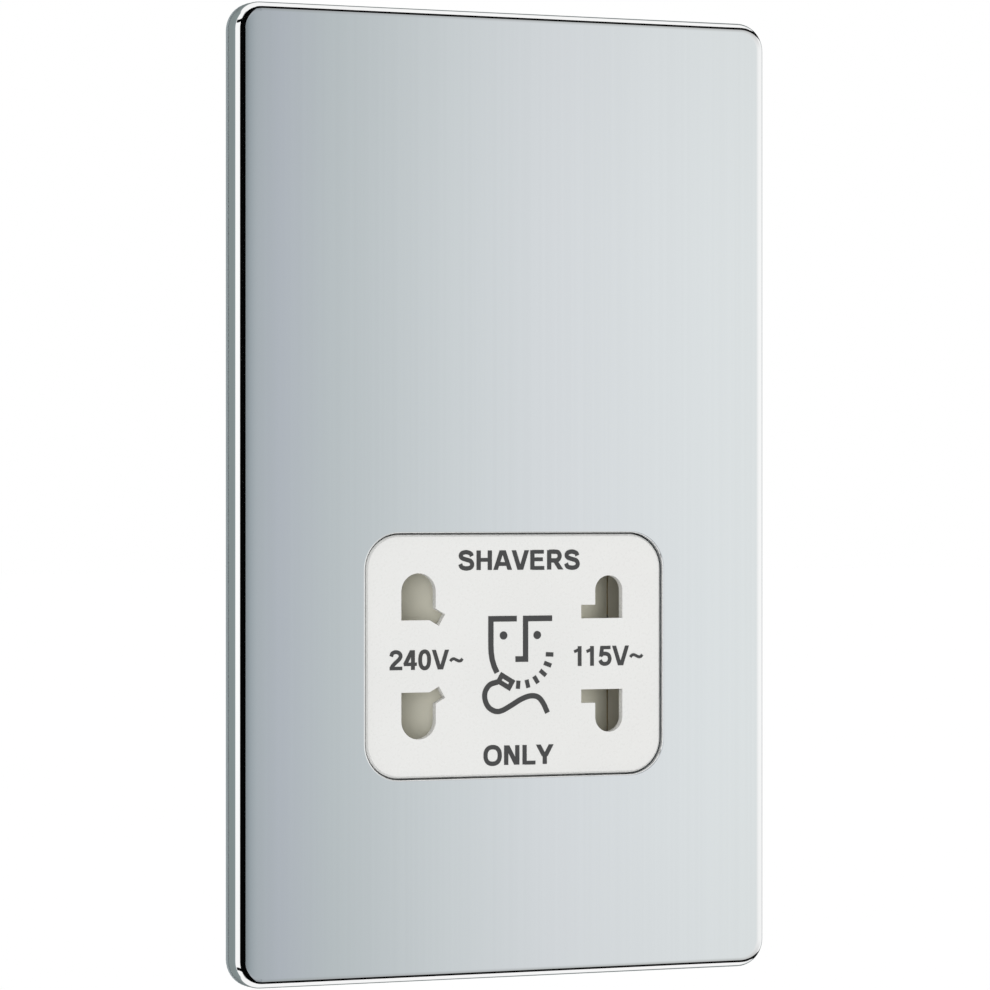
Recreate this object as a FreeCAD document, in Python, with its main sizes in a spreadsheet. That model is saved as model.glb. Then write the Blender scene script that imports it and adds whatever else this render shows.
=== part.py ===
"""Dual-voltage shaver socket on an upright double wall plate, in millimetres.

Frame: the origin is the plate's centre on the wall plane, -Y is the front, +Z is up.
The socket face, the shutter and the contacts are drawn about the centre of the face.
"""
import FreeCAD, Part
import Sketcher
import math
import os
import re

V = FreeCAD.Vector

SIZES = {
    # Drawn metal plate.
    "plate_width": 85.8,
    "plate_height": 145.8,
    "plate_depth": 4.4,
    "plate_sheet": 0.8,
    "plate_corner": 4.2,
    "plate_edge": 1.5,
    "cutout_gap": 0.35,
    "cutout_edge": 0.3,
    "clip_length": 9.0,
    "clip_depth": 0.6,
    "clip_height": 0.8,
    "clip_z": 34.0,
    # Moulded mounting frame.
    "lip_height": 0.9,
    "lip_proud": 0.1,
    "seat_gap": 0.1,
    "plate_fit": 0.2,
    "web_thick": 1.6,
    "rim_width": 3.0,
    "rib_thick": 1.4,
    "rib_x": 20.0,
    "window_gap": 0.3,
    # Wall box screws.
    "fixing_pitch": 120.6,
    "fixing_shank": 1.75,
    "fixing_neck": 1.5,
    "fixing_head": 3.3,
    "fixing_head_height": 2.0,
    "fixing_length": 25.0,
    "fixing_pad": 6.0,
    "fixing_pad_gap": 1.3,
    "screw_clear": 0.25,
    # White socket face.
    "face_x": 1.45,
    "face_z": -24.17,
    "face_width": 47.7,
    "face_height": 36.4,
    "face_corner": 5.2,
    "face_recess": 0.35,
    "face_wall": 1.4,
    "face_side": 1.5,
    "face_edge": 0.3,
    "flange_margin": 2.0,
    "flange_thick": 1.2,
    # Slots, measured from the centre of the face.
    "slot_flat": 5.4,
    "left_inner": 12.8,
    "left_width": 5.5,
    "left_end": 12.45,
    "blade_angle": 30.0,
    "blade_half": 1.0,
    "blade_length": 1.0,
    "right_inner": 13.07,
    "right_width": 4.5,
    "right_end": 11.93,
    "tab_length": 2.3,
    "tab_height": 2.07,
    # Shutter.
    "slider_gap": 0.2,
    "slider_depth": 5.35,
    "slider_half": 14.2,
    "slider_side_gap": 0.3,
    "slider_travel": 7.2,
    "slider_stop_gap": 0.6,
    "slot_cover": 0.1,
    "crest_inset": 0.5,
    "toe_thick": 0.5,
    # Centring spring.
    "spring_strip": 0.3,
    "spring_width": 4.0,
    "spring_height": 3.8,
    "spring_length": 13.8,
    "spring_start": 10.2,
    "spring_legs": 5,
    "spring_bend": 0.5,
    "spring_gap": 0.1,
    "hook_rib": 1.0,
    "hook_pass": 1.4,
    "post_half": 1.0,
    "post_thick": 1.0,
    "post_gap": 0.3,
    # Contact carrier and its cover.
    "carrier_wall": 1.6,
    "well_depth": 13.9,
    "well_margin": 0.6,
    "cover_thick": 1.5,
    # Spring contacts.
    "jaw_strip": 0.5,
    "jaw_half": 3.2,
    "jaw_span": 2.3,
    "jaw_pinch": 1.6,
    "jaw_flare": 2.6,
    "jaw_pinch_depth": 2.8,
    "jaw_root_depth": 7.0,
    "jaw_bend": 0.5,
    "jaw_shelf": 0.1,
    "tail_half": 1.5,
    "tail_out": 2.0,
    "tail_clear": 0.25,
    "common_tail_x": 6.0,
    # Rear housing.
    "housing_side_gap": 1.75,
    "housing_wall": 2.0,
    "housing_corner": 5.0,
    "box_corner": 3.0,
    "housing_edge": 1.2,
    "wire_space": 5.5,
    "pillar_inset": 0.2,
    "pillar_radius": 3.2,
    "pillar_end": 8.0,
    "pilot_spare": 1.0,
    "lug_thick": 2.5,
    "screw_well": 4.0,
    "post_half_width": 2.2,
    "cover_post_x": 22.0,
    "cover_post_z": 10.0,
    # Housing screws.
    "tapper_shank": 1.25,
    "tapper_head": 2.7,
    "tapper_head_height": 2.0,
    "tapper_length": 7.0,
    "tapper_fit": 0.05,
    # Transformer.
    "core_limb": 8.0,
    "core_stack": 20.0,
    "core_top_gap": 12.2,
    "core_lead_gap": 2.8,
    "core_side_gap": 0.5,
    "coil_gap": 6.0,
    "coil_rear_gap": 2.0,
    "coil_overhang": 7.2,
    "bobbin_wall": 1.0,
    "pin_half": 0.4,
    "pin_edge": 1.6,
    "bobbin_gap": 0.2,
    "winding_inset": 0.6,
    "winding_gap": 0.1,
    "winding_corner": 3.0,
    "cutout_width": 14.0,
    "cutout_height": 8.0,
    "cutout_thick": 4.5,
    "cutout_x": -7.0,
    "cutout_leg": 0.4,
    "cutout_leg_x": 4.0,
    # Supply terminals.
    "terminal_pitch": 11.0,
    "terminal_width": 8.0,
    "terminal_depth": 9.0,
    "terminal_height": 9.0,
    "terminal_rise": 8.5,
    "terminal_fit": 0.2,
    "terminal_tail": 2.0,
    "terminal_tail_thick": 1.0,
    "wire_bore": 2.1,
    "clamp_shank": 1.75,
    "clamp_proud": 1.5,
    "clamp_gap": 0.3,
    "shroud_wall": 1.8,
    "shroud_depth": 11.5,
    "shroud_skirt": 1.5,
    # Earth strip.
    "strip_width": 5.0,
    "strip_thick": 0.5,
    "strip_finger": 3.5,
    "strip_joggle": 5.0,
    "strip_bend": 0.6,
    "strip_touch": 0.05,
    "strip_clear": 2.0,
    "strip_hole_gap": 0.6,
    # Leads.
    "lead_radius": 0.8,
    "lead_touch": 0.05,
    "lead_end_gap": 0.25,
    "lead_bend": 3.0,
    "lead_rise": 1.5,
    # Cutting tools stand this far past what they cut.
    "overshoot": 1.0,
}

doc = FreeCAD.newDocument("shaver_socket")
sheet = doc.addObject("Spreadsheet::Sheet", "dims")
for row, (alias, value) in enumerate(SIZES.items(), start=1):
    sheet.set(f"A{row}", alias)
    sheet.set(f"B{row}", str(value))
    sheet.setAlias(f"B{row}", alias)
doc.recompute()

# Depths along Y, as expressions in the sheet's names.
PLATE_INNER = "(plate_sheet - plate_depth)"
SKIRT_REAR = "(-lip_height - seat_gap)"
FRAME_FRONT = f"({PLATE_INNER} + seat_gap)"
WEB_REAR = f"({FRAME_FRONT} + web_thick)"
FACE_FRONT = "(face_recess - plate_depth)"
FACE_INNER = f"({FACE_FRONT} + face_wall)"
FLANGE_REAR = f"({WEB_REAR} + flange_thick)"
CREST = f"({FACE_INNER} + slider_gap)"
SLIDER_REAR = f"({CREST} + slider_depth)"
FLOOR = f"({SLIDER_REAR} + slider_gap)"
CARRIER_REAR = f"({FLOOR} + well_depth)"
COVER_REAR = f"({CARRIER_REAR} + cover_thick)"
LOWER_INNER = f"({COVER_REAR} + wire_space)"
LOWER_REAR = f"({LOWER_INNER} + housing_wall)"
COIL_FRONT = f"({WEB_REAR} + coil_gap)"
CORE_FRONT = f"({COIL_FRONT} + coil_overhang)"
CORE_REAR = f"({CORE_FRONT} + core_stack)"
CORE_Y = f"({CORE_FRONT} + core_stack / 2)"
UPPER_INNER = f"({CORE_REAR} + coil_overhang + coil_rear_gap)"
UPPER_REAR = f"({UPPER_INNER} + housing_wall)"
HOUSING_TOP = "(fixing_pitch / 2 - fixing_pad - fixing_pad_gap)"
PILLAR_Z = f"({HOUSING_TOP} - housing_wall - screw_well - pillar_inset)"
CORE_Z = f"({HOUSING_TOP} - core_top_gap - 2.5 * core_limb)"
STEP_Z = f"({CORE_Z} - 2.5 * core_limb - core_lead_gap - housing_wall)"
BOX_TOP = f"({CORE_Z} + 2.5 * core_limb + core_side_gap + housing_wall)"
BOX_HALF = "(3 * core_limb + core_side_gap + housing_wall)"
TERMINAL_Z = f"(terminal_rise - {HOUSING_TOP})"
STRIP_Z = "(face_z - face_height / 2 - flange_margin - strip_clear - strip_thick / 2)"
LEAD_Y = f"({COVER_REAR} + tail_out + lead_radius + lead_touch)"
BASE_FRONT = f"({CARRIER_REAR} - jaw_shelf - jaw_strip)"

# Places across the face, measured from its centre.
LEFT_OUTER = "(left_inner + left_width)"
RIGHT_OUTER = "(right_inner + right_width)"
LEFT_MID = "(left_inner + left_width / 2)"
RIGHT_MID = "(right_inner + right_width / 2)"
BLADE_COS = "cos(blade_angle * 1 deg)"
BLADE_SIN = "sin(blade_angle * 1 deg)"
LEFT_TIP = f"(left_inner - blade_length - blade_half * {BLADE_SIN})"
RIGHT_TIP = "(right_inner - tab_length)"
LEFT_TOE = f"({LEFT_OUTER} + slot_cover)"
RIGHT_TOE = f"({RIGHT_OUTER} + slot_cover)"
TRAY_HALF = f"({LEFT_TOE} + slider_travel + slider_stop_gap)"
TRAY_TALL = "(slider_half + slider_side_gap)"
CARRIER_HALF = f"({TRAY_HALF} + carrier_wall)"
CARRIER_TALL = f"({TRAY_TALL} + carrier_wall)"
HOUSING_HALF = f"({CARRIER_HALF} + face_x + housing_side_gap + housing_wall)"
PILLAR_X = f"({HOUSING_HALF} - housing_wall - screw_well - pillar_inset)"
WELL_LOW = f"(slot_flat - blade_half * {BLADE_COS} - well_margin)"
WELL_HIGH = "(left_end + well_margin)"
SPRING_END = "(spring_length - spring_start)"
HOOK_INNER = "(spring_start - spring_strip - spring_gap)"
RIB_INNER = f"({HOOK_INNER} - hook_rib)"
POCKET_END = f"({SPRING_END} + slider_travel + spring_gap + slider_gap)"
POST_INNER = f"({SPRING_END} - spring_strip - spring_gap)"
JAW_Z = "((slot_flat + left_end) / 2)"

NAME = re.compile(r"[a-z][a-z0-9_]*")


def bind(text):
    """Turn a formula in the sheet's names into an expression on the sheet."""
    def full(match):
        word = match.group(0)
        return f"dims.{word}" if word in SIZES else word
    return NAME.sub(full, str(text))


def num(text):
    """Value of a formula in the sheet's names."""
    value = sheet.evalExpression(bind(text))
    return float(getattr(value, "Value", value))


def new_body(name, at=None):
    """A body named after its piece, placed by three formulas."""
    body = doc.addObject("PartDesign::Body", name)
    body.Label = name
    place(body, at)
    return body


def place(obj, at):
    for axis, formula in zip("xyz", at or ()):
        obj.setExpression(f"Placement.Base.{axis}", bind(formula))


FACE_AT = ("face_x", "0", "face_z")
LEAD_Z = f"({STEP_Z} + housing_wall + lead_radius + lead_touch)"
PIN_EDGE = "(2 * core_limb - bobbin_gap - pin_edge)"
# Where each lead meets the coil former, across the plate.
LEAD_PINS = {
    "lead_neutral": "0",
    "lead_common": "(face_x + common_tail_x)",
    "lead_115v": PIN_EDGE,
    "lead_240v": f"(-{PIN_EDGE})",
}
CORE_AT = ("0", CORE_Y, CORE_Z)
CORNERS = ((f"-{PILLAR_X}", PILLAR_Z), (PILLAR_X, f"-{PILLAR_Z}"))


def new_sketch(body, name, role="XZ_Plane", at="0"):
    """Sketch on one of the body's own planes; on XZ the place is its Y, on XY its Z, on YZ its X."""
    sketch = body.newObject("Sketcher::SketchObject", name)
    base = next(f for f in body.Origin.OriginFeatures if f.Role == role)
    sketch.AttachmentSupport = [(base, "")]
    sketch.MapMode = "FlatFace"
    shift = f"-({at})" if role == "XZ_Plane" else at
    sketch.setExpression("AttachmentOffset.Base.z", bind(shift))
    return sketch


def fix(sketch, kind, geo, pos, formula):
    """Hold one coordinate of a sketch point at a formula, from the sketch's origin."""
    index = sketch.addConstraint(Sketcher.Constraint(kind, -1, 1, geo, pos, num(formula)))
    sketch.setExpression(f"Constraints[{index}]", bind(formula))


def bind_size(sketch, constraint, formula):
    index = sketch.addConstraint(constraint)
    sketch.setExpression(f"Constraints[{index}]", bind(formula))


def add_circle(sketch, x, y, radius):
    circle = Part.Circle(V(num(x), num(y), 0), V(0, 0, 1), num(radius))
    geo = sketch.addGeometry(circle, False)
    fix(sketch, "DistanceX", geo, 3, x)
    fix(sketch, "DistanceY", geo, 3, y)
    bind_size(sketch, Sketcher.Constraint("Radius", geo, num(radius)), radius)


def add_outline(sketch, corners):
    """Closed outline: each corner is (x, y), or (x, y, centre_y) when an arc leads to the next one."""
    count = len(corners)
    first = sketch.GeometryCount
    for i, corner in enumerate(corners):
        after = corners[(i + 1) % count]
        a = V(num(corner[0]), num(corner[1]), 0)
        b = V(num(after[0]), num(after[1]), 0)
        if len(corner) == 2:
            sketch.addGeometry(Part.LineSegment(a, b), False)
            continue
        centre = V((a.x + b.x) / 2, num(corner[2]), 0)
        radius = a.distanceToPoint(centre)
        start = math.atan2(a.y - centre.y, a.x - centre.x)
        stop = math.atan2(b.y - centre.y, b.x - centre.x)
        circle = Part.Circle(centre, V(0, 0, 1), radius)
        sketch.addGeometry(Part.ArcOfCircle(circle, start, stop), False)
    for i in range(count):
        sketch.addConstraint(
            Sketcher.Constraint("Coincident", first + i, 2, first + (i + 1) % count, 1))
    for i, corner in enumerate(corners):
        fix(sketch, "DistanceX", first + i, 1, corner[0])
        fix(sketch, "DistanceY", first + i, 1, corner[1])
        if len(corner) == 3:
            fix(sketch, "DistanceY", first + i, 3, corner[2])


def add_box(sketch, x0, x1, y0, y1):
    add_outline(sketch, [(x0, y0), (x1, y0), (x1, y1), (x0, y1)])


def add_rounded(sketch, half_x, half_y, radius, x="0", y="0"):
    """Rectangle with rounded corners about a point, with tangent arcs."""
    cx, cy, a, b, r = (num(f) for f in (x, y, half_x, half_y, radius))
    first = sketch.GeometryCount
    turns = [(1, -1, -90), (1, 1, 0), (-1, 1, 90), (-1, -1, 180)]
    for sx, sy, start in turns:
        centre = V(cx + sx * (a - r), cy + sy * (b - r), 0)
        t0 = math.radians(start)
        circle = Part.Circle(centre, V(0, 0, 1), r)
        sketch.addGeometry(Part.ArcOfCircle(circle, t0, t0 + math.pi / 2), False)
    ends = []
    for i in range(4):
        ends.append((sketch.getPoint(first + i, 2), sketch.getPoint(first + (i + 1) % 4, 1)))
    for p, q in ends:
        sketch.addGeometry(Part.LineSegment(p, q), False)
    for i in range(4):
        line, arc, after = first + 4 + i, first + i, first + (i + 1) % 4
        sketch.addConstraint(Sketcher.Constraint("Tangent", arc, 2, line, 1))
        sketch.addConstraint(Sketcher.Constraint("Tangent", line, 2, after, 1))
        flat = "Vertical" if i % 2 == 0 else "Horizontal"
        sketch.addConstraint(Sketcher.Constraint(flat, line))
        if i:
            sketch.addConstraint(Sketcher.Constraint("Equal", first, arc))
    bind_size(sketch, Sketcher.Constraint("Radius", first, r), radius)
    right, top, left, bottom = (first + 4 + i for i in range(4))
    fix(sketch, "DistanceX", right, 1, f"({x}) + ({half_x})")
    fix(sketch, "DistanceX", left, 1, f"({x}) - ({half_x})")
    fix(sketch, "DistanceY", top, 1, f"({y}) + ({half_y})")
    fix(sketch, "DistanceY", bottom, 1, f"({y}) - ({half_y})")


def pad(body, sketch, length, back=False):
    """Pad towards the sketch's normal (the front, on XZ), or away from it."""
    feature = body.newObject("PartDesign::Pad", f"{sketch.Name}_pad")
    feature.Profile = sketch
    feature.setExpression("Length", bind(length))
    feature.Reversed = back
    doc.recompute()
    return feature


def cut(body, sketch, length=None, front=False):
    """Pocket to the back on XZ, or to the front; right through when no depth is given."""
    before = body.Shape.Volume
    feature = body.newObject("PartDesign::Pocket", f"{sketch.Name}_pocket")
    feature.Profile = sketch
    feature.Reversed = front
    if length is None:
        feature.Type = "ThroughAll"
    else:
        feature.setExpression("Length", bind(length))
    doc.recompute()
    if not body.Shape.Volume < before - 1e-6:
        raise RuntimeError(f"{feature.Name} cuts nothing")
    return feature


def round_edges(body, name, radius, test):
    """Round the edges of the body's last feature that pass the test."""
    tip = body.Tip
    edges = [f"Edge{i}" for i, e in enumerate(tip.Shape.Edges, 1) if test(e)]
    feature = body.newObject("PartDesign::Fillet", name)
    feature.Base = (tip, edges)
    feature.setExpression("Radius", bind(radius))
    doc.recompute()
    return feature


def bevel_edges(body, name, size, test):
    """Bevel the edges of the body's last feature that pass the test."""
    tip = body.Tip
    edges = [f"Edge{i}" for i, e in enumerate(tip.Shape.Edges, 1) if test(e)]
    feature = body.newObject("PartDesign::Chamfer", name)
    feature.Base = (tip, edges)
    feature.setExpression("Size", bind(size))
    doc.recompute()
    return feature


def on_plane(axis, level):
    """Test for edges that lie in one plane across an axis."""
    def test(edge):
        box = edge.BoundBox
        low, high = getattr(box, f"{axis}Min"), getattr(box, f"{axis}Max")
        return abs(low - level) < 1e-4 and abs(high - level) < 1e-4
    return test


def mirror(body, name, features, role):
    base = next(f for f in body.Origin.OriginFeatures if f.Role == role)
    feature = body.newObject("PartDesign::Mirrored", name)
    feature.Originals = features
    feature.MirrorPlane = (base, [""])
    body.Tip = feature
    doc.recompute()
    return feature


def block(name, x0, x1, y0, y1, z0, z1):
    """Part box between six formulas."""
    box = doc.addObject("Part::Box", name)
    for prop, low, high in (("Length", x0, x1), ("Width", y0, y1), ("Height", z0, z1)):
        box.setExpression(prop, bind(f"({high}) - ({low})"))
    place(box, (x0, y0, z0))
    return box


def rod(name, axis, radius, length, at):
    """Part cylinder from a point along +X, +Y or +Z."""
    cylinder = doc.addObject("Part::Cylinder", name)
    turn = {"x": FreeCAD.Rotation(V(0, 1, 0), 90),
            "y": FreeCAD.Rotation(V(1, 0, 0), -90),
            "z": FreeCAD.Rotation()}[axis]
    cylinder.Placement = FreeCAD.Placement(V(0, 0, 0), turn)
    cylinder.setExpression("Radius", bind(radius))
    cylinder.setExpression("Height", bind(length))
    place(cylinder, at)
    return cylinder


def fuse(name, shapes):
    joined = doc.addObject("Part::MultiFuse", name)
    joined.Shapes = shapes
    joined.Refine = True
    return joined


def subtract(name, base, tool):
    result = doc.addObject("Part::Cut", name)
    result.Base = base
    result.Tool = tool
    result.Refine = True
    return result


def group(name, shapes):
    bundle = doc.addObject("Part::Compound", name)
    bundle.Links = shapes
    bundle.Label = name
    return bundle


PIECES = []


def piece(obj, name):
    obj.Label = name
    PIECES.append(obj)
    return obj


def make_front_plate():
    """Pan drawn from sheet: rounded front edge, open back, cut-out for the face, clip lugs."""
    body = new_body("front_plate")
    outline = new_sketch(body, "plate_outline", at=SKIRT_REAR)
    add_rounded(outline, "plate_width / 2", "plate_height / 2", "plate_corner")
    skirt = f"(plate_depth + {SKIRT_REAR})"
    pad(body, outline, skirt)
    round_edges(body, "plate_front_edge", "plate_edge", on_plane("Y", -num("plate_depth")))
    inside = new_sketch(body, "plate_inside", at=SKIRT_REAR)
    add_rounded(inside, "plate_width / 2 - plate_sheet", "plate_height / 2 - plate_sheet",
                "plate_corner - plate_sheet")
    cut(body, inside, f"{skirt} - plate_sheet", front=True)
    bevel_edges(body, "plate_inner_edge", "plate_edge - plate_sheet",
                on_plane("Y", num(PLATE_INNER)))
    hole = new_sketch(body, "plate_cutout")
    add_rounded(hole, "face_width / 2 + cutout_gap", "face_height / 2 + cutout_gap",
                "face_corner + cutout_gap", "face_x", "face_z")
    cut(body, hole, front=True)
    rim = on_plane("Y", -num("plate_depth"))
    middle = V(num("face_x"), -num("plate_depth"), num("face_z"))
    reach = num("face_width / 2 + cutout_gap + cutout_edge")
    bevel_edges(body, "plate_cutout_edge", "cutout_edge",
                lambda e: rim(e) and e.CenterOfMass.distanceToPoint(middle) < reach)
    lugs = new_sketch(body, "plate_lugs", at=SKIRT_REAR)
    wall = "plate_width / 2 - plate_sheet"
    for sx in ("", "-"):
        for sz in ("", "-"):
            add_box(lugs, f"{sx}({wall} - clip_depth)", f"{sx}({wall} + plate_sheet / 2)",
                    f"{sz}clip_z - clip_length / 2", f"{sz}clip_z + clip_length / 2")
    pad(body, lugs, "clip_height")
    piece(body, "front_plate")


def core_posts(sketch):
    """Square posts on the four corners of the core, clear of the coil."""
    for sx in ("", "-"):
        for sz in ("", "-"):
            x, z = f"{sx}2.5 * core_limb", f"{CORE_Z} + {sz}2 * core_limb"
            add_box(sketch, f"{x} - post_half_width", f"{x} + post_half_width",
                    f"{z} - post_half_width", f"{z} + post_half_width")


def make_mounting_frame():
    """Moulded frame: lip on the wall, raised body inside the pan, hollow back, pillars and posts."""
    body = new_body("mounting_frame")
    inset = "(plate_sheet + plate_fit)"
    half_x, half_y = f"(plate_width / 2 - {inset})", f"(plate_height / 2 - {inset})"
    corner = f"(plate_corner - {inset})"
    lip = new_sketch(body, "frame_lip")
    add_rounded(lip, "plate_width / 2 + lip_proud", "plate_height / 2 + lip_proud",
                "plate_corner + lip_proud")
    pad(body, lip, "lip_height")
    raised = new_sketch(body, "frame_raised")
    add_rounded(raised, half_x, half_y, corner)
    pad(body, raised, f"-{FRAME_FRONT}")
    bevel_edges(body, "frame_front_edge", "plate_edge - plate_sheet", on_plane("Y", num(FRAME_FRONT)))
    hollow = new_sketch(body, "frame_hollow")
    add_box(hollow, f"rim_width - {half_x}", f"{half_x} - rim_width",
            f"rim_width - {half_y}", f"{half_y} - rim_width")
    cut(body, hollow, f"-{WEB_REAR}", front=True)
    pads = new_sketch(body, "frame_screw_pads")
    for sign in ("", "-"):
        add_circle(pads, "0", f"{sign}fixing_pitch / 2", "fixing_pad")
    pad(body, pads, f"-{FRAME_FRONT}")
    ribs = new_sketch(body, "frame_ribs")
    for sx in ("", "-"):
        for sz in ("", "-"):
            add_box(ribs, f"{sx}rib_x - rib_thick / 2", f"{sx}rib_x + rib_thick / 2",
                    f"{sz}({HOUSING_TOP} + window_gap)", f"{sz}({half_y} - rim_width / 2)")
    pad(body, ribs, f"-{FRAME_FRONT}")
    seats = new_sketch(body, "frame_screw_seats", at=FRAME_FRONT)
    shanks = new_sketch(body, "frame_screw_holes")
    for sign in ("", "-"):
        add_circle(seats, "0", f"{sign}fixing_pitch / 2", "fixing_head + screw_clear")
        add_circle(shanks, "0", f"{sign}fixing_pitch / 2", "fixing_shank + screw_clear")
    cut(body, seats, "fixing_head_height + 2 * seat_gap")
    cut(body, shanks, front=True)
    window = new_sketch(body, "frame_window")
    add_rounded(window, "face_width / 2 + window_gap", "face_height / 2 + window_gap",
                "face_corner + window_gap", "face_x", "face_z")
    cut(body, window, front=True)
    notches = new_sketch(body, "frame_clip_notches", at="-lip_height")
    long = "(clip_length / 2 + plate_fit)"
    for sx in ("", "-"):
        for sz in ("", "-"):
            add_box(notches, f"{sx}({half_x} - clip_depth)", f"{sx}({half_x} + plate_fit)",
                    f"{sz}clip_z - {long}", f"{sz}clip_z + {long}")
    cut(body, notches, "clip_height + 2 * plate_fit", front=True)
    slot = new_sketch(body, "frame_earth_slot")
    add_box(slot, "terminal_pitch - strip_width / 2 - strip_hole_gap",
            "terminal_pitch + strip_width / 2 + strip_hole_gap",
            f"{STRIP_Z} - strip_finger - strip_hole_gap",
            f"{STRIP_Z} + strip_thick / 2 + strip_hole_gap")
    cut(body, slot, front=True)
    pillars = new_sketch(body, "frame_pillars", at=WEB_REAR)
    pilots = new_sketch(body, "frame_pilots", at="pillar_end")
    posts = new_sketch(body, "frame_core_posts", at=WEB_REAR)
    for x, z in CORNERS:
        add_circle(pillars, x, z, "pillar_radius")
        add_circle(pilots, x, z, "tapper_shank + tapper_fit")
    core_posts(posts)
    pad(body, pillars, f"pillar_end - {WEB_REAR}", back=True)
    cut(body, pilots, "tapper_length - lug_thick + pilot_spare", front=True)
    pad(body, posts, f"{CORE_FRONT} - {WEB_REAR}", back=True)
    piece(body, "mounting_frame")


def slot_left(sketch):
    """Round-ended slot with a flat inner edge and a slanted blade notch at its inner corner."""
    tip_x, tip_z = "(-left_inner + blade_length)", "slot_flat"
    up_x = f"({tip_x} + blade_half * {BLADE_SIN})"
    up_z = f"({tip_z} + blade_half * {BLADE_COS})"
    low_x = f"({tip_x} - blade_half * {BLADE_SIN})"
    low_z = f"({tip_z} - blade_half * {BLADE_COS})"
    root_z = f"({up_z} + ({up_x} + left_inner) * {BLADE_SIN} / {BLADE_COS})"
    root_x = f"({low_x} - (slot_flat - {low_z}) * {BLADE_COS} / {BLADE_SIN})"
    arc_z = "(left_end - left_width / 2)"
    add_outline(sketch, [
        (f"-{LEFT_OUTER}", "slot_flat"), (root_x, "slot_flat"), (low_x, low_z), (up_x, up_z),
        ("-left_inner", root_z), ("-left_inner", arc_z, arc_z), (f"-{LEFT_OUTER}", arc_z)])


def slot_right(sketch):
    """Round-ended slot with a flat inner edge and a level blade notch on its inner side."""
    arc_z = "(right_end - right_width / 2)"
    notch_z = "(slot_flat + tab_height)"
    add_outline(sketch, [
        (RIGHT_TIP, "slot_flat"), (RIGHT_OUTER, "slot_flat"), (RIGHT_OUTER, arc_z, arc_z),
        ("right_inner", arc_z), ("right_inner", notch_z), (RIGHT_TIP, notch_z)])


def make_socket_face():
    """White face: raised panel through the plate, thin front wall with four slots, rear flange."""
    body = new_body("socket_face", FACE_AT)
    flange = new_sketch(body, "face_flange", at=FLANGE_REAR)
    add_rounded(flange, "face_width / 2 + flange_margin", "face_height / 2 + flange_margin",
                "face_corner + flange_margin")
    pad(body, flange, "flange_thick")
    panel = new_sketch(body, "face_panel", at=FLANGE_REAR)
    add_rounded(panel, "face_width / 2", "face_height / 2", "face_corner")
    pad(body, panel, f"{FLANGE_REAR} - {FACE_FRONT}")
    bevel_edges(body, "face_front_edge", "face_edge", on_plane("Y", num(FACE_FRONT)))
    chamber = new_sketch(body, "face_chamber", at=FLANGE_REAR)
    add_rounded(chamber, "face_width / 2 - face_side", "face_height / 2 - face_side",
                "face_corner - face_side")
    cut(body, chamber, f"{FLANGE_REAR} - {FACE_INNER}", front=True)
    left = new_sketch(body, "slot_240v")
    slot_left(left)
    left_cut = cut(body, left, front=True)
    right = new_sketch(body, "slot_115v")
    slot_right(right)
    right_cut = cut(body, right, front=True)
    mirror(body, "lower_slots", [left_cut, right_cut], "XY_Plane")
    piece(body, "socket_face")


def make_shutter():
    """Roof-shaped slider: crest behind the face, a ramp under each pair of slots, spring pocket.

    A rib in the pocket traps the spring's first leg, and a channel clears the carrier's posts.
    """
    body = new_body("shutter_slider", FACE_AT)
    roof = new_sketch(body, "slider_profile", "XY_Plane", "-slider_half")
    toe = f"({SLIDER_REAR} - toe_thick)"
    add_outline(roof, [
        (f"-{LEFT_TOE}", SLIDER_REAR), (RIGHT_TOE, SLIDER_REAR), (RIGHT_TOE, toe),
        (f"{RIGHT_TIP} - crest_inset", CREST), (f"crest_inset - {LEFT_TIP}", CREST),
        (f"-{LEFT_TOE}", toe)])
    pad(body, roof, "2 * slider_half")
    side = "(spring_width / 2 + spring_gap)"
    pocket = new_sketch(body, "slider_spring_pocket", at=SLIDER_REAR)
    add_box(pocket, "-(spring_start + spring_gap)", f"-{HOOK_INNER}", f"-{side}", side)
    add_box(pocket, f"-{RIB_INNER}", POCKET_END, f"-{side}", side)
    cut(body, pocket, "spring_height + 2 * spring_gap", front=True)
    passage = new_sketch(body, "slider_spring_passage", at=SLIDER_REAR)
    add_box(passage, "-spring_start", f"hook_rib - {RIB_INNER}", f"-{side}", side)
    cut(body, passage, "hook_pass", front=True)
    channel = new_sketch(body, "slider_post_channel", at=SLIDER_REAR)
    add_box(channel, f"-{RIB_INNER}", f"{POCKET_END} + post_thick + post_gap",
            "-(post_half + post_gap)", "post_half + post_gap")
    cut(body, channel, "spring_height / 2 + spring_gap + post_gap", front=True)
    piece(body, "shutter_slider")


def make_spring():
    """Serpentine strip spring: upright legs joined in turn at the front and at the back."""
    strip, legs = num("spring_strip"), round(num("spring_legs"))
    start = strip / 2 - num("spring_start")
    span = num("spring_length") - strip
    front = num(f"{SLIDER_REAR} - spring_height - spring_gap") + strip / 2
    back = num(f"{SLIDER_REAR} - spring_gap") - strip / 2
    points = []
    for i in range(legs):
        x = start + span * i / (legs - 1)
        run = [(x, front), (x, back)]
        points += run if i % 2 == 0 else run[::-1]
    spring = doc.addObject("Part::Feature", "shutter_spring")
    spring.Shape = strip_solid(points, strip, num("spring_bend"), num("spring_width"), flats=True)
    spring.Placement = FreeCAD.Placement()
    place(spring, FACE_AT)
    piece(spring, "shutter_spring")


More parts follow.
